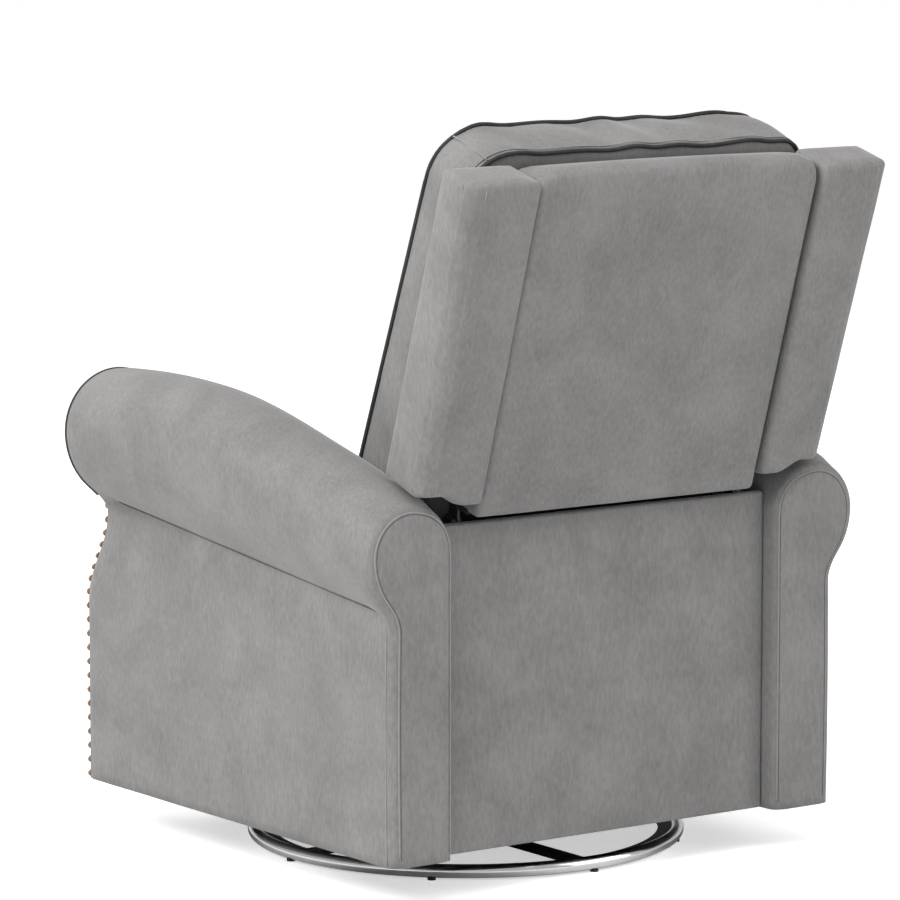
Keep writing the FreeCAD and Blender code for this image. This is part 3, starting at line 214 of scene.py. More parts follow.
SLOT_MATERIAL = {
    "velvet": VELVET, "foam_cover": COVER, "webbing": STRAP, "chrome": CHROME,
    "black_steel": BLACK, "zinc_steel": ZINC, "nylon": NYLON, "black_rubber": RUBBER,
    "timber": WOOD, "charcoal_plastic": PLASTIC,
}


# Mesh helpers
def linked(name, data):
    """A new object in the scene's collection."""
    obj = bpy.data.objects.new(name, data)
    bpy.context.scene.collection.objects.link(obj)
    return obj


def evaluated(obj):
    """The object's mesh with its modifiers applied."""
    graph = bpy.context.evaluated_depsgraph_get()
    return bpy.data.meshes.new_from_object(obj.evaluated_get(graph))


def finish_mesh(name, vertices, faces, material, sharp=False):
    """An object from points in metres, with doubles merged and faces turned outwards."""
    mesh = bpy.data.meshes.new(name)
    mesh.from_pydata([tuple(v) for v in vertices], [], faces)
    bm = bmesh.new()
    bm.from_mesh(mesh)
    bmesh.ops.remove_doubles(bm, verts=bm.verts, dist=1e-6)
    bmesh.ops.recalc_face_normals(bm, faces=bm.faces)
    bm.to_mesh(mesh)
    bm.free()
    for face in mesh.polygons:
        face.use_smooth = not sharp
    mesh.materials.append(material)
    return linked(name, mesh)


def tube(name, points, radius, material, closed=False, sides=8):
    """A round cord through points in metres, with closed ends."""
    count = len(points)
    vertices = []
    faces = []
    normal = None
    for i, p in enumerate(points):
        before = points[(i - 1) % count] if closed or i else points[0]
        after = points[(i + 1) % count] if closed or i < count - 1 else points[-1]
        along = (after - before).normalized()
        if normal is None:
            guide = Vector((0, 0, 1)) if abs(along.z) < 0.9 else Vector((1, 0, 0))
            normal = along.cross(guide).normalized()
        else:
            normal = (normal - along * normal.dot(along)).normalized()
        across = along.cross(normal)
        for k in range(sides):
            angle = 2 * math.pi * k / sides
            out = normal * math.cos(angle) + across * math.sin(angle)
            vertices.append(p + out * radius / 1000)
    rows = count if closed else count - 1
    for i in range(rows):
        for k in range(sides):
            a = i * sides + k
            b = i * sides + (k + 1) % sides
            c = ((i + 1) % count) * sides + (k + 1) % sides
            d = ((i + 1) % count) * sides + k
            faces.append((a, b, c, d))
    if not closed:
        faces.append(tuple(range(sides)))
        faces.append(tuple((count - 1) * sides + k for k in range(sides)))
    return finish_mesh(name, vertices, faces, material)


def spaced(points, gap, closed=False):
    """Points at an even gap in millimetres along a line of points in metres."""
    line = list(points) + ([points[0]] if closed else [])
    lengths = [0.0]
    for a, b in zip(line, line[1:]):
        lengths.append(lengths[-1] + (b - a).length * 1000)
    steps = max(int(round(lengths[-1] / gap)), 1)
    result = []
    j = 0
    for i in range(steps + (0 if closed else 1)):
        at = lengths[-1] * i / steps
        while j < len(lengths) - 2 and lengths[j + 1] < at:
            j += 1
        share = (at - lengths[j]) / max(lengths[j + 1] - lengths[j], 1e-9)
        result.append(line[j].lerp(line[j + 1], clamp(share, 0, 1)))
    return result


def nails(name, places, radius=5.0, height=3.2):
    """Domed nailheads at (point, outward direction) pairs, in one mesh."""
    vertices = []
    faces = []
    around = 12
    rings = ((1.0, -0.25), (1.0, 0.05), (0.88, 0.48), (0.62, 0.80), (0.30, 0.96))
    for p, out in places:
        guide = Vector((1, 0, 0)) if abs(out.x) < 0.9 else Vector((0, 0, 1))
        u = out.cross(guide).normalized()
        v = out.cross(u)
        start = len(vertices)
        for r, h in rings:
            for k in range(around):
                angle = 2 * math.pi * k / around
                flat = u * math.cos(angle) + v * math.sin(angle)
                vertices.append(p + (flat * radius * r + out * height * h) / 1000)
        vertices.append(p + out * height / 1000)
        for level in range(len(rings) - 1):
            for k in range(around):
                a = start + level * around + k
                b = start + level * around + (k + 1) % around
                faces.append((a, b, b + around, a + around))
        last = start + (len(rings) - 1) * around
        for k in range(around):
            faces.append((last + k, last + (k + 1) % around, len(vertices) - 1))
        faces.append(tuple(start + k for k in range(around)))
    return finish_mesh(name, vertices, faces, NAIL)


def stops(half, corner, middle, in_corner):
    """Lattice lines from -half to half, with even steps in each corner and between them."""
    edge = [half - corner + corner * i / in_corner for i in range(1, in_corner + 1)]
    inner = [-(half - corner) + 2 * (half - corner) * i / middle for i in range(middle + 1)]
    return [-v for v in reversed(edge)] + inner + edge


def depth_stops(depth, low, high, middle, in_edge=5):
    line = [low * (1 - math.cos(math.pi / 2 * i / in_edge)) for i in range(in_edge + 1)]
    line += [low + (depth - low - high) * i / middle for i in range(1, middle)]
    line += [depth - high * (1 - math.cos(math.pi / 2 * (in_edge - i) / in_edge))
             for i in range(in_edge + 1)]
    return line


def soft_block(name, half_x, half_y, depth, corners, low, high, counts, shape, material):
    """A block with rounded corners and edges. corners gives a radius for each sign of x and y, low
    and high round the rims at z 0 and z depth. shape(x, y, z) gives a point in the row frame."""
    biggest = max(corners.values())
    xs = stops(half_x, biggest, counts[0], 6)
    ys = stops(half_y, biggest, counts[1], 6)
    zs = depth_stops(depth, low, high, counts[2])
    nx, ny, nz = len(xs) - 1, len(ys) - 1, len(zs) - 1
    index = {}
    vertices = []
    faces = []

    def vertex(i, j, k):
        key = (i, j, k)
        if key not in index:
            x, y, z = xs[i], ys[j], zs[k]
            if z < low:
                e = low - math.sqrt(max(low * low - (low - z) ** 2, 0))
            elif z > depth - high:
                e = high - math.sqrt(max(high * high - (z - depth + high) ** 2, 0))
            else:
                e = 0.0
            hx = half_x - e
            hy = half_y - e
            px = x * hx / half_x
            py = y * hy / half_y
            sx = 1 if x > 0 else -1
            sy = 1 if y > 0 else -1
            c = max(corners[(sx, sy)] - e, 1.5)
            a = (abs(px) - (hx - c)) / c
            b = (abs(py) - (hy - c)) / c
            if a > 0 and b > 0:
                px = sx * (hx - c + c * a * math.sqrt(1 - b * b / 2))
                py = sy * (hy - c + c * b * math.sqrt(1 - a * a / 2))
            index[key] = len(vertices)
            vertices.append(shape(px, py, z))
        return index[key]

    def quad(at, p, q):
        """Face that spans the steps p and q from a lattice point."""
        both = [a + b for a, b in zip(p, q)]
        faces.append([vertex(*(a + b for a, b in zip(at, step)))
                      for step in ((0, 0, 0), p, both, q)])

    for i in range(nx):
        for j in range(ny):
            for k in (0, nz):
                quad((i, j, k), (1, 0, 0), (0, 1, 0))
    for k in range(nz):
        for i in range(nx):
            for j in (0, ny):
                quad((i, j, k), (1, 0, 0), (0, 0, 1))
        for j in range(ny):
            for i in (0, nx):
                quad((i, j, k), (0, 1, 0), (0, 0, 1))
    return finish_mesh(name, vertices, faces, material)


def even(radius):
    """The same radius at all four corners of a block."""
    return {(sx, sy): radius for sx in (1, -1) for sy in (1, -1)}


def rim_path(half_x, half_y, radius):
    """Rounded rectangle as (x, y) pairs, anticlockwise from the lower right corner."""
    path = []
    for cx, cy, start in ((1, -1, -90), (1, 1, 0), (-1, 1, 90), (-1, -1, 180)):
        for step in range(10):
            angle = math.radians(start + 10 * step)
            path.append((cx * (half_x - radius) + radius * math.cos(angle),
                         cy * (half_y - radius) + radius * math.sin(angle)))
    return path


def dense(path, gap, closed=True):
    """Even points along a flat path in millimetres."""
    line = [Vector((p[0], p[1], 0)) / 1000 for p in path]
    return [(v.x * 1000, v.y * 1000) for v in spaced(line, gap, closed)]


def puffed(obj, voxel, pins, reach, cap, pressure=4.0):
    """Inflates a copy of the mesh with a cloth run. Points near the pins, the seams, stay put."""
    scene = bpy.context.scene
    tree = kdtree.KDTree(len(pins))
    for i, p in enumerate(pins):
        tree.insert(p, i)
    tree.balance()
    remesh = obj.modifiers.new("even", "REMESH")
    remesh.mode = "VOXEL"
    remesh.voxel_size = voxel / 1000
    ease = obj.modifiers.new("ease", "SMOOTH")
    ease.iterations = 4
    even_mesh = evaluated(obj)
    work = linked(obj.name + "_work", even_mesh)
    group = work.vertex_groups.new(name="seams")
    start = [v.co.copy() for v in even_mesh.vertices]
    for i, co in enumerate(start):
        gap = tree.find(co)[2] * 1000
        if gap < reach:
            group.add([i], 1.0 - 0.5 * gap / reach, "REPLACE")
    cloth = work.modifiers.new("cloth", "CLOTH")
    cloth.settings.use_pressure = True
    cloth.settings.uniform_pressure_force = pressure
    cloth.settings.effector_weights.gravity = 0.0
    cloth.settings.vertex_group_mass = "seams"
    cloth.settings.quality = 5
    cloth.settings.tension_stiffness = 12
    cloth.settings.compression_stiffness = 12
    cloth.settings.bending_stiffness = 1.5
    for f in range(1, 21):
        scene.frame_set(f)
    result = evaluated(work)
    for vertex, was in zip(result.vertices, start):
        move = vertex.co - was
        if move.length > cap / 1000:
            vertex.co = was + move * (cap / 1000 / move.length)
    scene.frame_set(1)
    name = obj.name
    material = obj.data.materials[0]
    bpy.data.objects.remove(work)
    bpy.data.objects.remove(obj)
    for face in result.polygons:
        face.use_smooth = True
    if not result.materials:
        result.materials.append(material)
    return linked(name, result)


def subdivide(obj):
    """Adds one level of smoothing."""
    rounder = obj.modifiers.new("round", "SUBSURF")
    rounder.levels = 1
    rounder.render_levels = 1


def moved(obj, change):
    """Moves every vertex by change(co), a vector in metres."""
    for vertex in obj.data.vertices:
        vertex.co += change(vertex.co)
    obj.data.update()


def soft_piece(obj, body, nodes):
    """A cover in place of CAD nodes: hides the nodes and rides the body."""
    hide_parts(*nodes)
    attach(obj, body)


def trim(obj, body):
    """Piping, seams and nails: they ride a body and replace nothing."""
    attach(obj, body)


# Arms
ARM_INNER = 272.0
ARM_OUTER = 371.0
ARM_REAR = 348.0
ROLL_FRONT = -345.0
ARM_FRONT = -388.0
ARM_TOE = 9.0
OGEE_LOW = 318
OGEE_RISE = 130
# Top of the scroll at its front, at the swivel axis and at its rear, and how far it sags behind
ROLL_TOPS = (650.0, 638.0, 550.0)
ROLL_SAG = 12.0
# Outer side of the scroll and height of the neck under it, at the front and at the rear
ROLL_OUTER = (440, 410)
ROLL_NECK = (468, 391)
CASING = 59.0


def front_line(z):
    """y of the arm's ogee front at a height."""
    share = clamp((z - OGEE_LOW) / OGEE_RISE, 0, 1)
    return (ARM_FRONT + (ROLL_FRONT - ARM_FRONT) * (0.5 - 0.5 * math.cos(math.pi * share))
            - ARM_TOE * smooth((430 - z) / 110))


def rim_back(inset):
    """How far the rear panel's surface lies in front of its plane at a distance from the edge."""
    for (i0, b0), (i1, b1) in zip(REAR_RIM, REAR_RIM[1:]):
        if inset <= i1:
            return b0 + (b1 - b0) * (inset - i0) / (i1 - i0)
    return REAR_RIM[-1][1]


def front_normal(z):
    """Outward direction of the ogee front in the y-z plane."""
    slope = (front_line(z + 1) - front_line(z - 1)) / 2
    length = math.hypot(1, slope)
    return (-1 / length, slope / length)


def roll_top(y):
    y0, y2 = ROLL_FRONT, ARM_REAR
    z0, z1, z2 = ROLL_TOPS
    return (z0 * y * (y - y2) / (y0 * (y0 - y2)) + z1 * (y - y0) * (y - y2) / (y0 * y2)
            + z2 * (y - y0) * y / ((y2 - y0) * y2)) - ROLL_SAG * smooth((y + 90) / 260)


def roll_sizes(y):
    share = (y - ROLL_FRONT) / (ARM_REAR - ROLL_FRONT)
    outer = ROLL_OUTER[0] + (ROLL_OUTER[1] - ROLL_OUTER[0]) * share
    neck = ROLL_NECK[0] + (ROLL_NECK[1] - ROLL_NECK[0]) * share
    radius = (outer - ARM_INNER) / 2
    return ARM_INNER + radius, roll_top(y) - radius, radius, neck


ROUND = 16
UNDER = 16
LOWER_SHARES = (0.012, 0.03, 0.06) + tuple(0.1 + 0.9 * i / 27 for i in range(28))
LOWER_OUTER = len(LOWER_SHARES)
LOWER_INNER = UNDER + LOWER_OUTER


def side_swell(share):
    """How far the outer side stands out below the tuck under the scroll."""
    return 3.0 * smooth(share / 0.05) + 1.6 * math.sin(math.pi * share)


def arm_section(y, inset):
    """(x, z) points up the inner side, over the scroll, under it and down the outer side."""
    cx, cz, radius, neck = roll_sizes(y)
    reach = radius - inset
    tuck = ARM_OUTER - 3.0 - inset
    dx = cx + reach - tuck
    dz = cz - neck
    big = (dx * dx + dz * dz) / (2 * dx)
    whole = math.asin(min(1.0, dz / big))
    outside = []
    for i in range(1, UNDER + 1):
        angle = whole * i / UNDER
        outside.append((cx + reach - big + big * math.cos(angle), cz - big * math.sin(angle)))
    for share in LOWER_SHARES:
        outside.append((tuck + side_swell(share), neck - (neck - CASING) * share))
    ends = smooth((y - ARM_REAR + 46) / 34) + smooth((ROLL_FRONT + 30 - y) / 26)
    if ends > 0:
        first, last = UNDER - 6, UNDER + 2
        angle = whole * (first + 1) / UNDER
        ax, az = outside[first]
        bx, bz = outside[last]
        sweep = (ax - bx) / math.sin(angle)
        mx, mz = bx, max(az - sweep * math.cos(angle), bz + 2)
        for i in range(first + 1, last):
            q = (i - first) / (last - first)
            x = (1 - q) ** 2 * ax + 2 * q * (1 - q) * mx + q * q * bx
            z = (1 - q) ** 2 * az + 2 * q * (1 - q) * mz + q * q * bz
            ox, oz = outside[i]
            outside[i] = (ox + (x - ox) * ends, oz + (z - oz) * ends)
    points = [(ARM_INNER + inset, z) for x, z in reversed(outside)]
    turns = [math.pi - math.pi / 2 * i / (ROUND - 1) for i in range(ROUND)]
    turns += [math.pi / 2 - math.pi / 2 * i / ROUND for i in range(1, ROUND + 1)]
    points += [(cx + reach * math.cos(a), cz + reach * math.sin(a)) for a in turns]
    return points + outside


COUNT = LOWER_INNER + ROUND * 2 + UNDER + LOWER_OUTER


def arm_row(t, inset, forward, rearward, side):
    """One row of arm points. t runs from the front (0) to the rear (1)."""
    y_roll = ROLL_FRONT + t * (ARM_REAR - ROLL_FRONT)
    row = []
    for x, z in arm_section(y_roll, inset):
        front = front_line(z)
        y = front + t * (ARM_REAR - front)
        y += forward if t < 0.5 else -rearward
        row.append(place(side * (x + cloth_swell(x, y, z, t)), y, z))
    return row


def cloth_swell(x, y, z, t):
    """Slight waviness of the arm's cover, fading towards both ends."""
    return wave((x, y, z), 0.009, 3.0) * smooth(min(t, 1 - t) / 0.06)


# Rounded edges of the arm's ends, as (distance from the edge, setback) pairs
FRONT_RIM = ((0, 9), (0.8, 5.5), (2.5, 2.5), (5, 0), (9, -2.0), (14, -2.6), (20, -1.8), (27, -0.6))
REAR_RIM = ((0, 13), (1.0, 8.6), (3, 5.0), (6, 2.4), (9, 1.1), (12, 0.9), (14, -0.4), (20, -1.3),
            (26, -1.5))


def with_pocket(arm):
    """The right arm with room for the lever's bezel."""
    low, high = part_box("lever_bezel")
    inset = 0.0042
    mesh = bpy.data.meshes.new("pocket")
    bm = bmesh.new()
    bmesh.ops.create_cube(bm, size=1.0)
    size_m = (0.060, high.y - low.y - 2 * inset, high.z - low.z - 2 * inset)
    middle = Vector((high.x - 0.029, (low.y + high.y) / 2, (low.z + high.z) / 2))
    bmesh.ops.transform(bm, matrix=Matrix.Translation(middle) @ Matrix.Diagonal((*size_m, 1)),
                        verts=bm.verts)
    bm.to_mesh(mesh)
    bm.free()
    cutter = linked("pocket", mesh)
    cut = arm.modifiers.new("pocket", "BOOLEAN")
    cut.operation = "DIFFERENCE"
    cut.solver = "EXACT"
    cut.object = cutter
    result = evaluated(arm)
    arm.modifiers.clear()
    arm.data = result
    bpy.data.objects.remove(cutter)
    return arm


def make_arm(side, label):
    """One arm's cover with its welts, creases and seams. side is 1 on the sitter's left."""
    rows = []
    for inset, back in reversed(FRONT_RIM):
        rows.append(arm_row(0, inset, back, 0, side))
    steps = 40
    for i in range(1, steps):
        rows.append(arm_row(0.02 + 0.95 * i / steps, 0, 0, 0, side))
    for inset, back in REAR_RIM:
        rows.append(arm_row(1, inset, 0, back, side))
    vertices = [p for row in rows for p in row]
    faces = []
    last = COUNT - 1
    for r in range(len(rows) - 1):
        for i in range(last):
            a = r * COUNT + i
            faces.append((a, a + 1, a + 1 + COUNT, a + COUNT))
        faces.append((r * COUNT + last, r * COUNT, (r + 1) * COUNT, (r + 1) * COUNT + last))
    for start in (0, (len(rows) - 1) * COUNT):
        for i in range(COUNT // 2 - 1):
            faces.append((start + i, start + i + 1, start + last - i - 1, start + last - i))
    arm = finish_mesh(label + "_arm_cover", vertices, faces, VELVET)
    if side < 0:
        arm = with_pocket(arm)
    soft_piece(arm, "carriage", [label + "_arm"])

    # Welt round the front of the scroll, ridge down the inner front edge
    neck = roll_sizes(ROLL_FRONT)[3]
    section = arm_section(ROLL_FRONT, 1.3)
    scroll = [place(side * x, front_line(z) + 4.6, z) for x, z in section
              if z > neck and (x < 330 or z > neck + 1)]
    ridge = [place(side * (x + 0.6), front_line(z) + 3.4, z) for x, z in section
             if x < 280 and CASING + 1 < z <= neck + 6]
    trim(tube(label + "_arm_front_welt", spaced(scroll, 6), 2.5, PIPING), "carriage")
    trim(tube(label + "_arm_front_ridge", spaced(ridge, 8), 2.6, VELVET), "carriage")

    # Painted shadow: a thin dark line laid in the crease where the scroll's cloth is stitched to
    # the side
    crease = []
    for i in range(41):
        y = ROLL_FRONT + 26 + (ARM_REAR - 34 - ROLL_FRONT - 26) * i / 40
        fall = roll_sizes(y)[3]
        crease.append(place(side * (ARM_OUTER - 2.6), y, fall - 0.6))
    trim(tube(label + "_arm_crease_shadow", crease, 0.9, SEAM_SHADOW, sides=6), "carriage")

    # Seam round the rear panel, and the stitched corner beside it. Their ridges carry the painted
    # highlight colour, and a thin painted shadow line runs just inside the rear seam
    loop = []
    inner_loop = []
    for (x, z), (x2, z2) in zip(arm_section(ARM_REAR, 5.5), arm_section(ARM_REAR, 12.0)):
        away = smooth((x - ARM_INNER - 6) / 50)
        inset = 5.5 + 6.5 * away
        if z > CASING + 1:
            px = x + (x2 - x) * away
            pz = z + (z2 - z) * away
            loop.append(place(side * px, ARM_REAR - rim_back(inset) + 0.1, pz))
            middle = Vector((ARM_INNER + 66 - x, 0, min(roll_top(ARM_REAR) - 70 - z, 0)))
            toward = middle.normalized() * 2.2
            inner_loop.append(place(side * (px + toward.x), ARM_REAR - rim_back(inset + 2.2) - 0.7,
                                    pz + toward.z))
    trim(tube(label + "_arm_rear_seam", spaced(loop, 8), 1.4, SEAM_HIGHLIGHT, sides=8), "carriage")
    # Painted shadow line in the valley just inside the rear seam
    painted_seam_line = [p + Vector((0, 0.0006, 0)) for p in inner_loop]
    trim(tube(label + "_arm_rear_seam_shadow", spaced(painted_seam_line, 8), 0.5, SEAM_SHADOW, sides=6), "carriage")
    rear_neck = roll_sizes(ARM_REAR)[3]
    corner = []
    for i in range(31):
        share = 0.06 + 0.93 * i / 30
        z = rear_neck - (rear_neck - CASING) * share
        x = ARM_OUTER - 3.0 + side_swell(share)
        y = ARM_REAR - 13
        corner.append(place(side * (x + cloth_swell(x, y, z, 0.98) + 0.2), y, z))
    trim(tube(label + "_arm_corner_seam", corner, 0.9, SEAM_HIGHLIGHT, sides=6), "carriage")


FACING_INNER = 293
FACING_OUTER = 369.5
FACING_LOOP = 49.0
FACING_NECK = 478.0


def facing_edges(inset):
    """Left and right edge of the facing strip at matching heights, as (x, z) pairs."""
    cx, cz = roll_sizes(ROLL_FRONT)[:2]
    loop = FACING_LOOP - inset
    neck = FACING_NECK
    low = CASING + 0.5 + inset
    inner = FACING_INNER + inset
    outer = FACING_OUTER - inset * 0.45
    left = []
    right = []
    for i in range(34):
        z = low + (neck - low) * i / 34
        left.append((inner, z))
        right.append((outer, z))
    for i in range(10):
        share = i / 10
        bend = smooth(share)
        left.append((inner + (cx - loop - inner) * bend, neck + (cz - neck) * share))
        right.append((outer + (cx + loop - outer) * bend, neck + (cz - neck) * share))
    for i in range(17):
        angle = math.pi / 2 * i / 16
        z = cz + loop * math.sin(angle)
        left.append((cx - loop * math.cos(angle), z))
        right.append((cx + loop * math.cos(angle), z))
    return left, right


def on_front(side, x, z, height):
    ny, nz = front_normal(z)
    return place(side * x, front_line(z) + ny * height, z + nz * height)


def make_facing(side, label):
    """The padded strip on an arm's front, with nails along both edges."""
    left, right = facing_edges(0)
    vertices = []
    faces = []
    profile = [0.0, 0.03, 0.08, 0.16, 0.28, 0.42, 0.5, 0.58, 0.72, 0.84, 0.92, 0.97, 1.0]
    for layer in (0, 1):
        for (lx, lz), (rx, rz) in zip(left, right):
            width = max(math.hypot(rx - lx, rz - lz), 0.01)
            for u in profile:
                x = lx + (rx - lx) * u
                z = lz + (rz - lz) * u
                edge = min(min(u, 1 - u) * width, max(right[-1][1] - z, 0) * 0.8)
                lift = 3.4 * math.sqrt(clamp(edge / 5.0, 0, 1)) + 1.6 * smooth(edge / 26)
                vertices.append(on_front(side, x, z, lift if layer else -6.0))
    n = len(profile)
    rows = len(left)
    top = rows * n
    for r in range(rows - 1):
        for u in range(n - 1):
            for a in (top + r * n + u, r * n + u):
                faces.append((a, a + 1, a + 1 + n, a + n))
        for u in (0, n - 1):
            a = r * n + u
            faces.append((a, a + n, a + n + top, a + top))
    for u in range(n - 1):
        faces.append((u, u + 1, u + 1 + top, u + top))
    facing = finish_mesh(label + "_facing_cover", vertices, faces, VELVET)
    soft_piece(facing, "carriage", [label + "_arm_facing"])

    inner_left, inner_right = facing_edges(6.5)
    path = inner_left + inner_right[-2::-1]
    line = [on_front(side, x, z, 3.6) for x, z in path]
    places = []
    for p in spaced(line, 20):
        z = p.z * 1000
        ny, nz = front_normal(z)
        places.append((p, Vector((0, ny, nz))))
    trim(nails(label + "_arm_nails", places), "carriage")


for side, label in ((1, "left"), (-1, "right")):
    make_arm(side, label)
    make_facing(side, label)


# Seat: crowned top, welted front edge and a front that falls to the band's lower welt
SEAT_HALF = 262.0
SEAT_FRONT = -376.0
SEAT_REAR = 118.0
SEAT_MID = (SEAT_REAR + SEAT_FRONT) / 2
SEAT_BOTTOM = 335.6
SEAT_WELT = 463.0
BAND_BOTTOM = 267.0
SEAT_HALF_Y = 246


def crest(share):
    """Rises from 0 at the edge to 1 on the crown, steeply at first."""
    return 1 - (1 - smooth(share)) ** 2


def seat_shape(x, y, z):
    """Local z runs from 0 at the webbing to the welt."""
    depth = SEAT_WELT - SEAT_BOTTOM
    py = SEAT_MID + y
    low = BAND_BOTTOM - SEAT_BOTTOM
    fall = smooth((-349.0 - py) / 7.0)
    pz = z + low * fall * (1 - z / depth)
    ux = clamp(1 - abs(x) / SEAT_HALF, 0, 1)
    uy = clamp(1 - abs(y) / (SEAT_HALF_Y + 1), 0, 1)
    crown = 27.0 * crest(ux / 0.75) * crest(uy / 0.7)
    crown += 3.0 * smooth(min(ux, uy) / 0.05)
    pz += crown * smooth(z / depth) ** 6
    if y < 7 - SEAT_HALF_Y and z < depth:
        level = clamp((pz - low) / (depth - low), 0, 1)
        py -= 2.5 * math.sin(math.pi * level) * clamp(ux / 0.2, 0, 1)
    return place(x, py, SEAT_BOTTOM + pz)


seat = soft_block("seat_cover", SEAT_HALF - 1, SEAT_HALF_Y, SEAT_WELT - SEAT_BOTTOM, even(24), 4, 7,
                  (30, 30, 12), seat_shape, VELVET)
welt_loop = [place(x, SEAT_MID + y, SEAT_WELT - 3)
             for x, y in dense(rim_path(SEAT_HALF - 2.0, SEAT_HALF_Y - 1, 23), 6)]
band_line = [place(-SEAT_HALF + 6 + (2 * SEAT_HALF - 12) * i / 60, SEAT_FRONT + 5.5,
                   BAND_BOTTOM + 1) for i in range(61)]
seat = puffed(seat, 6.0, welt_loop + band_line, 7.0, 11.0)
subdivide(seat)
soft_piece(seat, "carriage", ["seat_cushion", "seat_front_band"])
# The seat's welt ridge carries the painted highlight colour
trim(tube("seat_welt", welt_loop, 2.4, SEAM_HIGHLIGHT, closed=True), "carriage")
trim(tube("band_welt", band_line, 3.0, PIPING), "carriage")


# Footrest panel: padded over its board, with round top corners
FOOTREST_MIDDLE = 154
FOOTREST_HALF_Y = 101


def footrest_shape(x, y, z):
    """Local y runs up the panel and local z from its board to its front."""
    ux = clamp(1 - abs(x) / SEAT_HALF, 0, 1)
    uy = clamp(1 - abs(y) / FOOTREST_HALF_Y, 0, 1)
    puff = 7.0 * math.sqrt(smooth(ux / 0.22)) * math.sqrt(smooth(uy / 0.6))
    front = -343.5 - z - (puff if z > 10 else 0) * smooth((z - 10) / 15)
    return place(x, front, FOOTREST_MIDDLE + y)


footrest = soft_block("footrest_cover", SEAT_HALF - 2, FOOTREST_HALF_Y, 29,
                      {(1, 1): 30, (-1, 1): 30, (1, -1): 10, (-1, -1): 10}, 2, 13, (36, 16, 5),
                      footrest_shape, VELVET)
pins = [place(x, -344, FOOTREST_MIDDLE + y)
        for x, y in dense(rim_path(SEAT_HALF - 3, FOOTREST_HALF_Y - 1, 20), 8)]
footrest = puffed(footrest, 6.0, pins, 9.0, 7.0)
subdivide(footrest)
soft_piece(footrest, "footrest_panel", ["footrest_pad"])


# Back cushion: boxed and piped, gathered along its top
CUSHION_HALF = 271.0
CUSHION_LENGTH = 574.0
CUSHION_MIDDLE = 287
CUSHION_CORNER = 78
CUSHION_LEAN_MORE = 12.0
CUSHION_WIDER = 0.035
CUSHION_DEPTH = 96.0
turn_back = math.radians(CUSHION_LEAN)
CUSHION_FOOT = place(0, CUSHION_Y, CUSHION_Z)
ALONG = Vector((0, math.sin(turn_back), math.cos(turn_back)))
ACROSS = Vector((0, math.cos(turn_back), -math.sin(turn_back)))
PUCKERS = ((-168, 34), (-104, 46), (-40, 40), (22, 50), (92, 44), (160, 32))


def lean_share(t):
    """How much of the wider, further leaning top the cushion has at a length t."""
    return smooth((t - 130) / 260)


def fuller(x, y, n):
    """Squarer corners than the block's, more so at the rear, and a wider top that leans back."""
    k = 10 + 18 * clamp(n / CUSHION_DEPTH, 0, 1)
    small = CUSHION_CORNER - k
    dx = abs(x) - (CUSHION_HALF - CUSHION_CORNER)
    dy = abs(y) - (CUSHION_MIDDLE - CUSHION_CORNER)
    if dx > 0 and dy > 0:
        angle = math.atan2(dy, dx)
        c, d = math.cos(angle), math.sin(angle)
        if CUSHION_CORNER * min(c, d) / max(c, d) < k:
            grow = 1 / max(c, d)
        else:
            rest = math.sqrt(max(small ** 2 - k * k * (1 - 2 * c * d), 0))
            grow = (k * (c + d) + rest) / CUSHION_CORNER
        x = math.copysign(CUSHION_HALF - CUSHION_CORNER + dx * grow, x)
        y = math.copysign(CUSHION_MIDDLE - CUSHION_CORNER + dy * grow, y)
    t = CUSHION_MIDDLE + y
    high = lean_share(t)
    return to_cushion(x * (1 + CUSHION_WIDER * high), n + CUSHION_LEAN_MORE * high, t)


def cushion_shape(x, y, z):
    """Local y runs up the cushion from its middle, local z from the rear seam to the front."""
    ux = clamp(1 - abs(x) / CUSHION_HALF, 0, 1)
    uy = clamp(1 - abs(y) / CUSHION_MIDDLE, 0, 1)
    dome = crest(ux / 0.7) * crest(uy / 0.6)
    level = clamp(z / CUSHION_DEPTH, 0, 1)
    n = CUSHION_DEPTH - z
    n -= 36.0 * dome * smooth(level) ** 6
    draw = 4.0 * (1 - math.sin(math.pi * level))
    px = x * (1 - draw / CUSHION_HALF)
    py = y * (1 - draw / CUSHION_MIDDLE)
    return fuller(px, py, n)


def ripple(x):
    """Waviness of the top seam, in millimetres."""
    return 2.0 * math.sin(x / 14.0 + 0.8 * math.sin(x / 37.0)) + 1.6 * math.sin(x / 31.0 + 1.3)


def seam_loop(n, inset):
    loop = []
    for x, y in dense(rim_path(CUSHION_HALF - inset, CUSHION_MIDDLE - inset, CUSHION_CORNER), 5):
        lift = ripple(x) * smooth((y - 230) / 50)
        loop.append(fuller(x, y, n + 0.6 * lift) + ALONG * 0.001 * lift)
    return loop


cushion = soft_block("back_cushion_cover", CUSHION_HALF, CUSHION_MIDDLE, CUSHION_DEPTH,
                     even(CUSHION_CORNER), 7, 7, (26, 28, 9), cushion_shape, VELVET)
front_seam = seam_loop(4, 3.5)
rear_seam = seam_loop(CUSHION_DEPTH - 4, 3.5)
cushion = puffed(cushion, 6.0, front_seam + rear_seam, 7.0, 12.0)


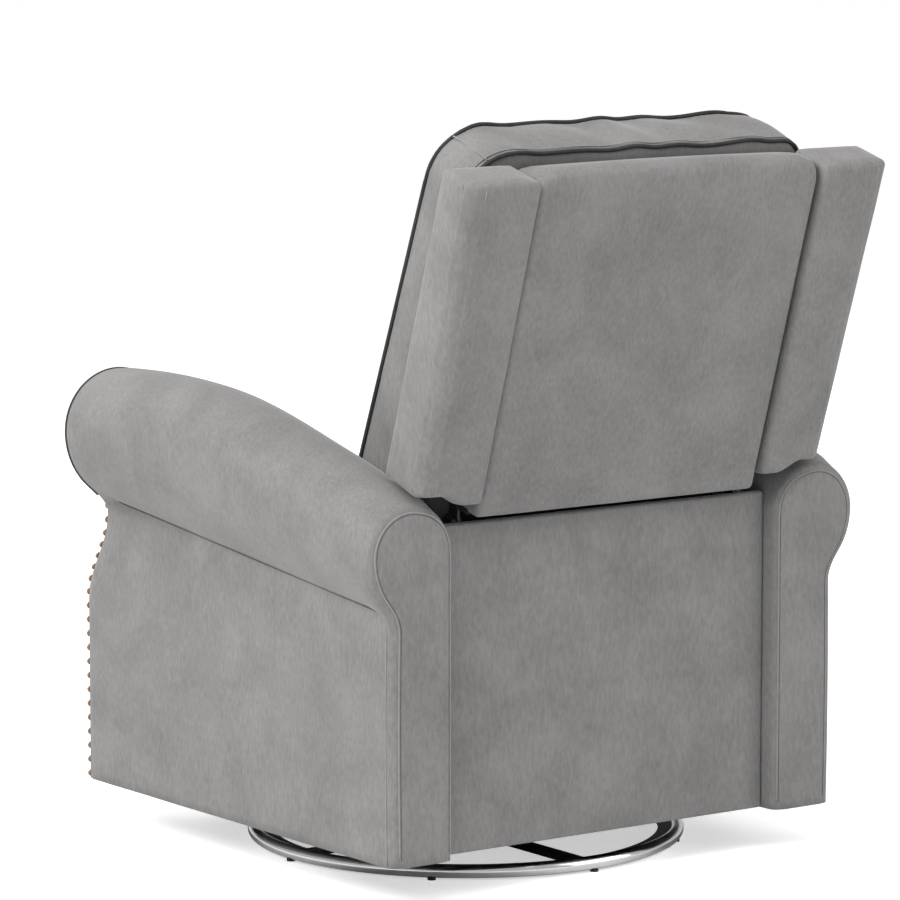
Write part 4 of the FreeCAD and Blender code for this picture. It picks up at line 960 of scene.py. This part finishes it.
def gathered(co):
    """Short folds that run down from the top seam, and soft folds over the top boxing."""
    local = co - CUSHION_FOOT
    x = local.x * 1000
    t = local.dot(ALONG) * 1000
    n = local.dot(ACROSS) * 1000 - CUSHION_LEAN_MORE * lean_share(t)
    from_top = CUSHION_LENGTH - t
    lift = ripple(x / (1 + CUSHION_WIDER)) * smooth((t - 517) / 50)
    beside_seam = smooth(1 - min(abs(n - 4), abs(n - CUSHION_DEPTH + 4)) / 34)
    change = (ALONG + 0.6 * ACROSS) * lift * (0.3 + 0.7 * beside_seam) / 1000
    if n < 20 and from_top < 130:
        for centre, length in PUCKERS:
            lean_x = centre + 0.22 * from_top
            near = math.exp(-((x - lean_x) / 6.5) ** 2)
            beside = math.exp(-((x - lean_x - 14) / 9.0) ** 2)
            fade = smooth(from_top / 8) * smooth((length * 1.5 - from_top) / (length * 1.2))
            change += ACROSS * (2.6 * near - 1.1 * beside) * fade * smooth((20 - n) / 20) / 1000
    if from_top < 30 and 4 < n < CUSHION_DEPTH - 4:
        across_box = math.sin(math.pi * clamp(n / CUSHION_DEPTH, 0, 1))
        fold = math.sin(x / 19.0 + 0.03 * n + 1.2 * math.sin(x / 57.0))
        change += ALONG * 2.4 * fold * across_box * smooth((30 - from_top) / 22) / 1000
    change += Vector((0, 1, 0)) * 1.2 * wave(co * 1000, 0.011, 9.0) / 1000
    return change


moved(cushion, gathered)
subdivide(cushion)
soft_piece(cushion, "backrest", ["back_cushion"])
trim(tube("cushion_front_piping", front_seam, 2.9, PIPING, closed=True), "backrest")
trim(tube("cushion_rear_piping", rear_seam, 2.9, PIPING, closed=True), "backrest")
# A thin ridge in the painted highlight colour just inside the rear piping
seam_middle = to_cushion(0, CUSHION_DEPTH - 4, CUSHION_MIDDLE)
painted_seam_line = [p + ACROSS * -0.008 + (p - seam_middle).normalized() * 0.0026 for p in rear_seam]
trim(tube("cushion_rear_stitch", painted_seam_line, 0.8, SEAM_HIGHLIGHT, closed=True, sides=6), "backrest")
# The mitred corner seams carry the painted highlight colour
for sign, name in ((1, "left"), (-1, "right")):
    mitre = []
    angle = math.radians(52)
    for i in range(13):
        share = i / 12
        swell = 3.8 * math.sin(math.pi * share)
        reach = CUSHION_CORNER + swell - 3
        mitre.append(fuller(sign * (CUSHION_HALF - CUSHION_CORNER + reach * math.cos(angle)),
                            CUSHION_MIDDLE - CUSHION_CORNER + reach * math.sin(angle),
                            6 + (CUSHION_DEPTH - 12) * share))
    trim(tube("cushion_mitre_" + name, mitre, 0.9, SEAM_HIGHLIGHT, sides=6), "backrest")


# Wings: columns beside the back, round at the outer rear corner, cut away over the arms
WING_INNER = 236.0
WING_LENGTH = 441.0
WING_HALF_X = 49.5
WING_HALF_Y = 45
WING_OVER_ARM = 7
WING_NAIL_GAP = 20
COS = math.cos(math.radians(BACK_LEAN))
SIN = math.sin(math.radians(BACK_LEAN))


def wing_outer(t):
    return 337 + (346 - 337) * clamp(t / WING_LENGTH, 0, 1)


def wing_depth(t):
    return WING_HALF_Y * 2 + (62 - WING_HALF_Y * 2) * clamp(t / WING_LENGTH, 0, 1)


def rear_lean(n, t):
    """The rear faces of the back stand out a little more towards the top."""
    return n + 10.0 * clamp(t / 450, 0, 1) * smooth((n + 62) / 52)


def wing_foot(x, n):
    """Lower end of the wing: it follows the scroll's top, and drops to a lip on the inner side."""
    y = BACK_Y + n * COS + 8 * SIN
    over = (roll_top(min(y, ARM_REAR - 1)) + WING_OVER_ARM - BACK_Z + n * SIN) / COS
    return over - 16 * (1 - smooth((x - 262) / 40)) * smooth((n + 70) / 45)


def make_wing(side, label):
    """One side wing of the back, with its seams and nails."""
    def shape(x, y, z):
        share = z / WING_LENGTH
        near = WING_INNER + 50 + x
        foot = wing_foot(near, (y - WING_HALF_Y) * wing_depth(20) / (WING_HALF_Y * 2))
        t = foot + (WING_LENGTH - foot) * share
        depth = wing_depth(t)
        n = -depth / 2 + y * depth / (WING_HALF_Y * 2)
        width = wing_outer(t) - WING_INNER
        px = WING_INNER + width / 2 + x * width / 99
        u = clamp(1 - abs(x) / WING_HALF_X, 0, 1)
        v = clamp(1 - abs(y) / WING_HALF_Y, 0, 1)
        w = clamp(min(share, 1 - share) / 0.06, 0, 1)
        if y > WING_HALF_Y - 1:
            n += 2.2 * smooth(u / 0.5) * smooth(w)
        if x > WING_HALF_X - 0.5:
            px += 2.0 * smooth(v / 0.5) * smooth(w)
        if share > 0.999:
            t += 2.5 * smooth(u / 0.5) * smooth(v / 0.5)
        px += 0.8 * wave((px, n, t), 0.012, 5.0)
        return to_back(side * px, rear_lean(n, t), t)

    wing = soft_block(label + "_wing_cover", WING_HALF_X, WING_HALF_Y, WING_LENGTH,
                      {(1, 1): 22, (1, -1): 9, (-1, 1): 5, (-1, -1): 5}, 5, 8, (10, 12, 44),
                      shape, VELVET)
    soft_piece(wing, "backrest", [label + "_wing"])

    def edge(x_off, n_off, low, high, steps=40):
        lengths = [low + (high - low) * i / steps for i in range(steps + 1)]
        return [to_back(side * (wing_outer(t) + x_off), rear_lean(n_off, t), t) for t in lengths]

    # The wing's seam lines carry the painted highlight colour
    outer_seam = edge(0.9, -21, wing_foot(340, -21) + 6, WING_LENGTH - 6)
    rear_seam_line = edge(-21, 0.9, wing_foot(316, 0) + 6, WING_LENGTH - 6)
    trim(tube(label + "_wing_side_seam", outer_seam, 0.9, SEAM_HIGHLIGHT, sides=6), "backrest")
    trim(tube(label + "_wing_rear_seam", rear_seam_line, 0.9, SEAM_HIGHLIGHT, sides=6), "backrest")

    out = (to_back(0, -10, 0) - to_back(0, 0, 0)).normalized()
    places = []
    count = int((WING_LENGTH - 75) / WING_NAIL_GAP)
    stations = [(0, i) for i in range(count + 1)] + [(i, 0) for i in range(1, 4)]
    for inward, down in stations:
        t = WING_LENGTH - 14 - WING_NAIL_GAP * down
        places.append((to_back(side * (wing_outer(t) - 13 - WING_NAIL_GAP * inward),
                               -wing_depth(t) - 0.3, t), out))
    trim(nails(label + "_wing_nails", places), "backrest")


make_wing(1, "left")
make_wing(-1, "right")


# Outside back: a padded centre panel that wraps over the top of the back frame
PANEL_TOP = 453.0
PANEL_LOW = -33.0
PANEL_HALF_X = 233.5
PANEL_HALF_Y = 242
PANEL_DEPTH = 66.5
PANEL_FRONT = -75.0


def centre_shape(x, y, z):
    """Local y runs up the panel and local z from its front face to its rear face."""
    share = clamp((y + PANEL_HALF_Y) / (2 * PANEL_HALF_Y), 0, 1)
    bow = 2 * (1 - (x / 228) ** 2)
    t = PANEL_LOW + share * (PANEL_TOP + bow - PANEL_LOW)
    u = clamp(1 - abs(x) / 232, 0, 1)
    v = clamp(min(share, 1 - share) * 2, 0, 1)
    level = z / PANEL_DEPTH
    n = PANEL_FRONT + z
    over = clamp((t - (PANEL_TOP - 30)) / 34, 0, 1)
    n -= 24 * (1 - math.sqrt(1 - min(over, 0.995) ** 2)) * level
    shoulder = clamp((abs(x) - 192) / 40, 0, 1)
    t -= 20 * (1 - math.sqrt(1 - min(shoulder, 0.995) ** 2)) * smooth((share - 0.8) / 0.2)
    t -= 22 * (1 - level) * smooth((share - 0.85) / 0.15)
    if z > 60:
        n += 3.0 * smooth(u / 0.25) * smooth(v / 0.25)
        n += 1.0 * wave((x, 0, t), 0.012, 1.0) * smooth(u / 0.2)
    return to_back(x, rear_lean(n, t), t)


centre = soft_block("outside_back_cover", PANEL_HALF_X, PANEL_HALF_Y, PANEL_DEPTH, even(9), 3, 11,
                    (30, 44, 8), centre_shape, VELVET)
soft_piece(centre, "backrest", ["outside_back_panel"])


# Foam pad behind the cushion
PAD_LENGTH = 470
PAD_HALF_X = 224
PAD_HALF_Y = 20


def pad_shape(x, y, z):
    """Local y runs from the cushion to the back frame and local z up the pad."""
    share = z / PAD_LENGTH
    front = -145.2 + (145.2 - 99.0) * share
    swell = 3.0 * clamp(1 - abs(x) / 225, 0, 1) ** 0.5
    n = (front + (-74.6 - front) * (y + PAD_HALF_Y) / (2 * PAD_HALF_Y)
         + (0.0 if y > 0 else swell * 0.3))
    return to_back(x, n, -82.0 + z)


pad = soft_block("foam_pad_cover", PAD_HALF_X, PAD_HALF_Y, PAD_LENGTH, even(8), 8, 8, (20, 4, 24),
                 pad_shape, COVER)
soft_piece(pad, "backrest", ["back_foam_pad"])


# Webbing straps, slack between the seat frame's rails
STRAP_COUNT = 6
STRAP_WIDTH = 50
STRAP_LENGTH = 653
STRAP_FRONT = -345
STRAP_TOP = 335.0
STRAP_BOTTOM = 333.2
STRAP_SAG = 5.0


def make_webbing():
    """All straps in one mesh."""
    pitch = 2 * 248 / STRAP_COUNT
    vertices = []
    faces = []
    steps = 44
    for i in range(STRAP_COUNT):
        x0 = (i - 2.5) * pitch - STRAP_WIDTH / 2
        x1 = x0 + STRAP_WIDTH
        base = len(vertices)
        for k in range(steps + 1):
            y = STRAP_FRONT + STRAP_LENGTH * k / steps
            free = clamp((y + 321) / 605, 0, 1)
            sag = STRAP_SAG * math.sin(math.pi * free) ** 0.7
            for x, z in ((x0, STRAP_BOTTOM), (x1, STRAP_BOTTOM), (x1, STRAP_TOP), (x0, STRAP_TOP)):
                vertices.append(place(x, y, z - sag))
        for k in range(steps):
            for c in range(4):
                d = (c + 1) % 4
                a = base + 4 * k
                faces.append((a + c, a + d, a + 4 + d, a + 4 + c))
        faces.append((base, base + 1, base + 2, base + 3))
        end = base + 4 * steps
        faces.append((end, end + 1, end + 2, end + 3))
    return finish_mesh("seat_webbing_straps", vertices, faces, STRAP, sharp=True)


soft_piece(make_webbing(), "carriage", ["seat_webbing"])


# Lower back panel between the arms, stapled along its lower edge
TAIL_HALF_X = 271.5
TAIL_HALF_Y = 220.5
TAIL_FRONT = 308
TAIL_DEPTH = 12


def tail_shape(x, y, z):
    """Local y runs up the panel and local z from its front face to its rear face."""
    height = 279.5 + y
    u = clamp(1 - abs(x) / 271, 0, 1)
    v = clamp(1 - abs(y) / 220, 0, 1)
    out = TAIL_FRONT + z
    if z > TAIL_DEPTH - 1:
        out += 2.2 * smooth(u / 0.12) * smooth(v / 0.12)
        out += 0.9 * wave((x, 0, height), 0.010, 7.0) * smooth(u / 0.1)
        low = clamp((height - CASING) / 60, 0, 1)
        out += 0.9 * math.sin(x / 5.5 + math.sin(x / 23)) * (1 - low) ** 3 * smooth(low / 0.08)
    return place(x, out, height)


tail = soft_block("lower_back_cover", TAIL_HALF_X, TAIL_HALF_Y, TAIL_DEPTH, even(4), 1.5, 4.5,
                  (110, 40, 3), tail_shape, VELVET)
soft_piece(tail, "carriage", ["lower_back_panel"])


# Every CAD part that still shows gets its slot's finish
record_slots = {entry["node"]: entry["material_slot"] for entry in frame["record"]["subparts"]}
for node_name, node in frame["nodes"].items():
    if node.hide_render:
        continue
    material = SLOT_MATERIAL.get(record_slots.get(node_name), BLACK)
    # Painted shade: the wooden back frame takes the near-black cover colour, so where it shows
    # through the gaps of the back it reads as shadow
    if node_name == "back_frame":
        material = COVER
    elif "hinge" in node_name:
        material = BLACK
    node.data.materials.clear()
    node.data.materials.append(material)


# Studio: pale floor, white surroundings, soft light
def stage_plane(name, size_m, z):
    mesh = bpy.data.meshes.new(name)
    half = size_m / 2
    mesh.from_pydata([(-half, -half, z), (half, -half, z), (half, half, z), (-half, half, z)], [],
                     [(0, 1, 2, 3)])
    obj = linked(name, mesh)
    return obj


floor = stage_plane("studio_floor", 200, 0.0)
floor_mat, floor_nodes, floor_links, floor_shader = tree_of("studio_floor")
feed(floor_shader, {"Base Color": (0.90, 0.90, 0.90, 1), "Roughness": 0.9,
                    "Specular IOR Level": 0.1})
glow = floor_nodes.new("ShaderNodeEmission")
feed(glow, {"Color": (1, 1, 1, 1)})
path = floor_nodes.new("ShaderNodeLightPath")
amount = floor_nodes.new("ShaderNodeMath")
amount.operation = "MULTIPLY"
amount.inputs[1].default_value = 0.55
floor_links.new(path.outputs["Is Camera Ray"], amount.inputs[0])
floor_links.new(amount.outputs["Value"], glow.inputs["Strength"])
both = floor_nodes.new("ShaderNodeAddShader")
floor_links.new(floor_shader.outputs["BSDF"], both.inputs[0])
floor_links.new(glow.outputs["Emission"], both.inputs[1])
floor_links.new(both.outputs["Shader"], floor_nodes["Material Output"].inputs["Surface"])
floor.data.materials.append(floor_mat)

world = bpy.data.worlds.new("studio")
bpy.context.scene.world = world
world.use_nodes = True
world_nodes = world.node_tree.nodes
world_links = world.node_tree.links
feed(world_nodes["Background"], {"Color": (1, 1, 1, 1), "Strength": 0.50})
seen = world_nodes.new("ShaderNodeBackground")
feed(seen, {"Color": (1, 1, 1, 1), "Strength": 1.0})
world_path = world_nodes.new("ShaderNodeLightPath")
choose = world_nodes.new("ShaderNodeMixShader")
world_links.new(world_path.outputs["Is Camera Ray"], choose.inputs["Fac"])
world_links.new(world_nodes["Background"].outputs["Background"], choose.inputs[1])
world_links.new(seen.outputs["Background"], choose.inputs[2])
world_links.new(choose.outputs["Shader"], world_nodes["World Output"].inputs["Surface"])


def soft_light(name, at, towards, size_m, watts):
    """A square area light at one point, turned towards another."""
    data = bpy.data.lights.new(name, "AREA")
    data.shape = "SQUARE"
    data.size = size_m
    data.energy = watts
    obj = linked(name, data)
    obj.location = at
    obj.rotation_euler = (Vector(towards) - Vector(at)).to_track_quat("-Z", "Y").to_euler()


soft_light("key_light", (3.6, 0.6, 3.4), (0, 0, 0.5), 2.4, 185)
soft_light("fill_light", (-2.6, 3.2, 1.8), (0, 0, 0.5), 3.0, 52)
soft_light("top_light", (0.6, 1.9, 4.2), (0, 0, 0.7), 2.6, 52)
soft_light("front_light", (0.8, -3.8, 2.6), (0, 0, 0.5), 3.0, 90)

camera_data = bpy.data.cameras.new("main_camera")
camera = linked("main_camera", camera_data)
bpy.context.scene.camera = camera
CAMERA_DISTANCE = 6.955
camera_data.lens = 200.2
camera_data.sensor_width = 36.0
camera_data.clip_end = 100.0
view_back = Vector((0.5826, 0.7989, 0.1495)).normalized()
view_right = Vector((-0.808, 0.589, 0.0)).normalized()
view_up = view_back.cross(view_right)
seat_point = Vector((0.0, -0.0436, 0.432))
camera.location = seat_point + view_back * CAMERA_DISTANCE
aim = seat_point + view_up * 0.110 - view_right * 0.022
camera.rotation_euler = (aim - camera.location).to_track_quat("-Z", "Y").to_euler()

scene = bpy.context.scene
scene.render.resolution_x = 900
scene.render.resolution_y = 900
scene.view_settings.view_transform = "Standard"
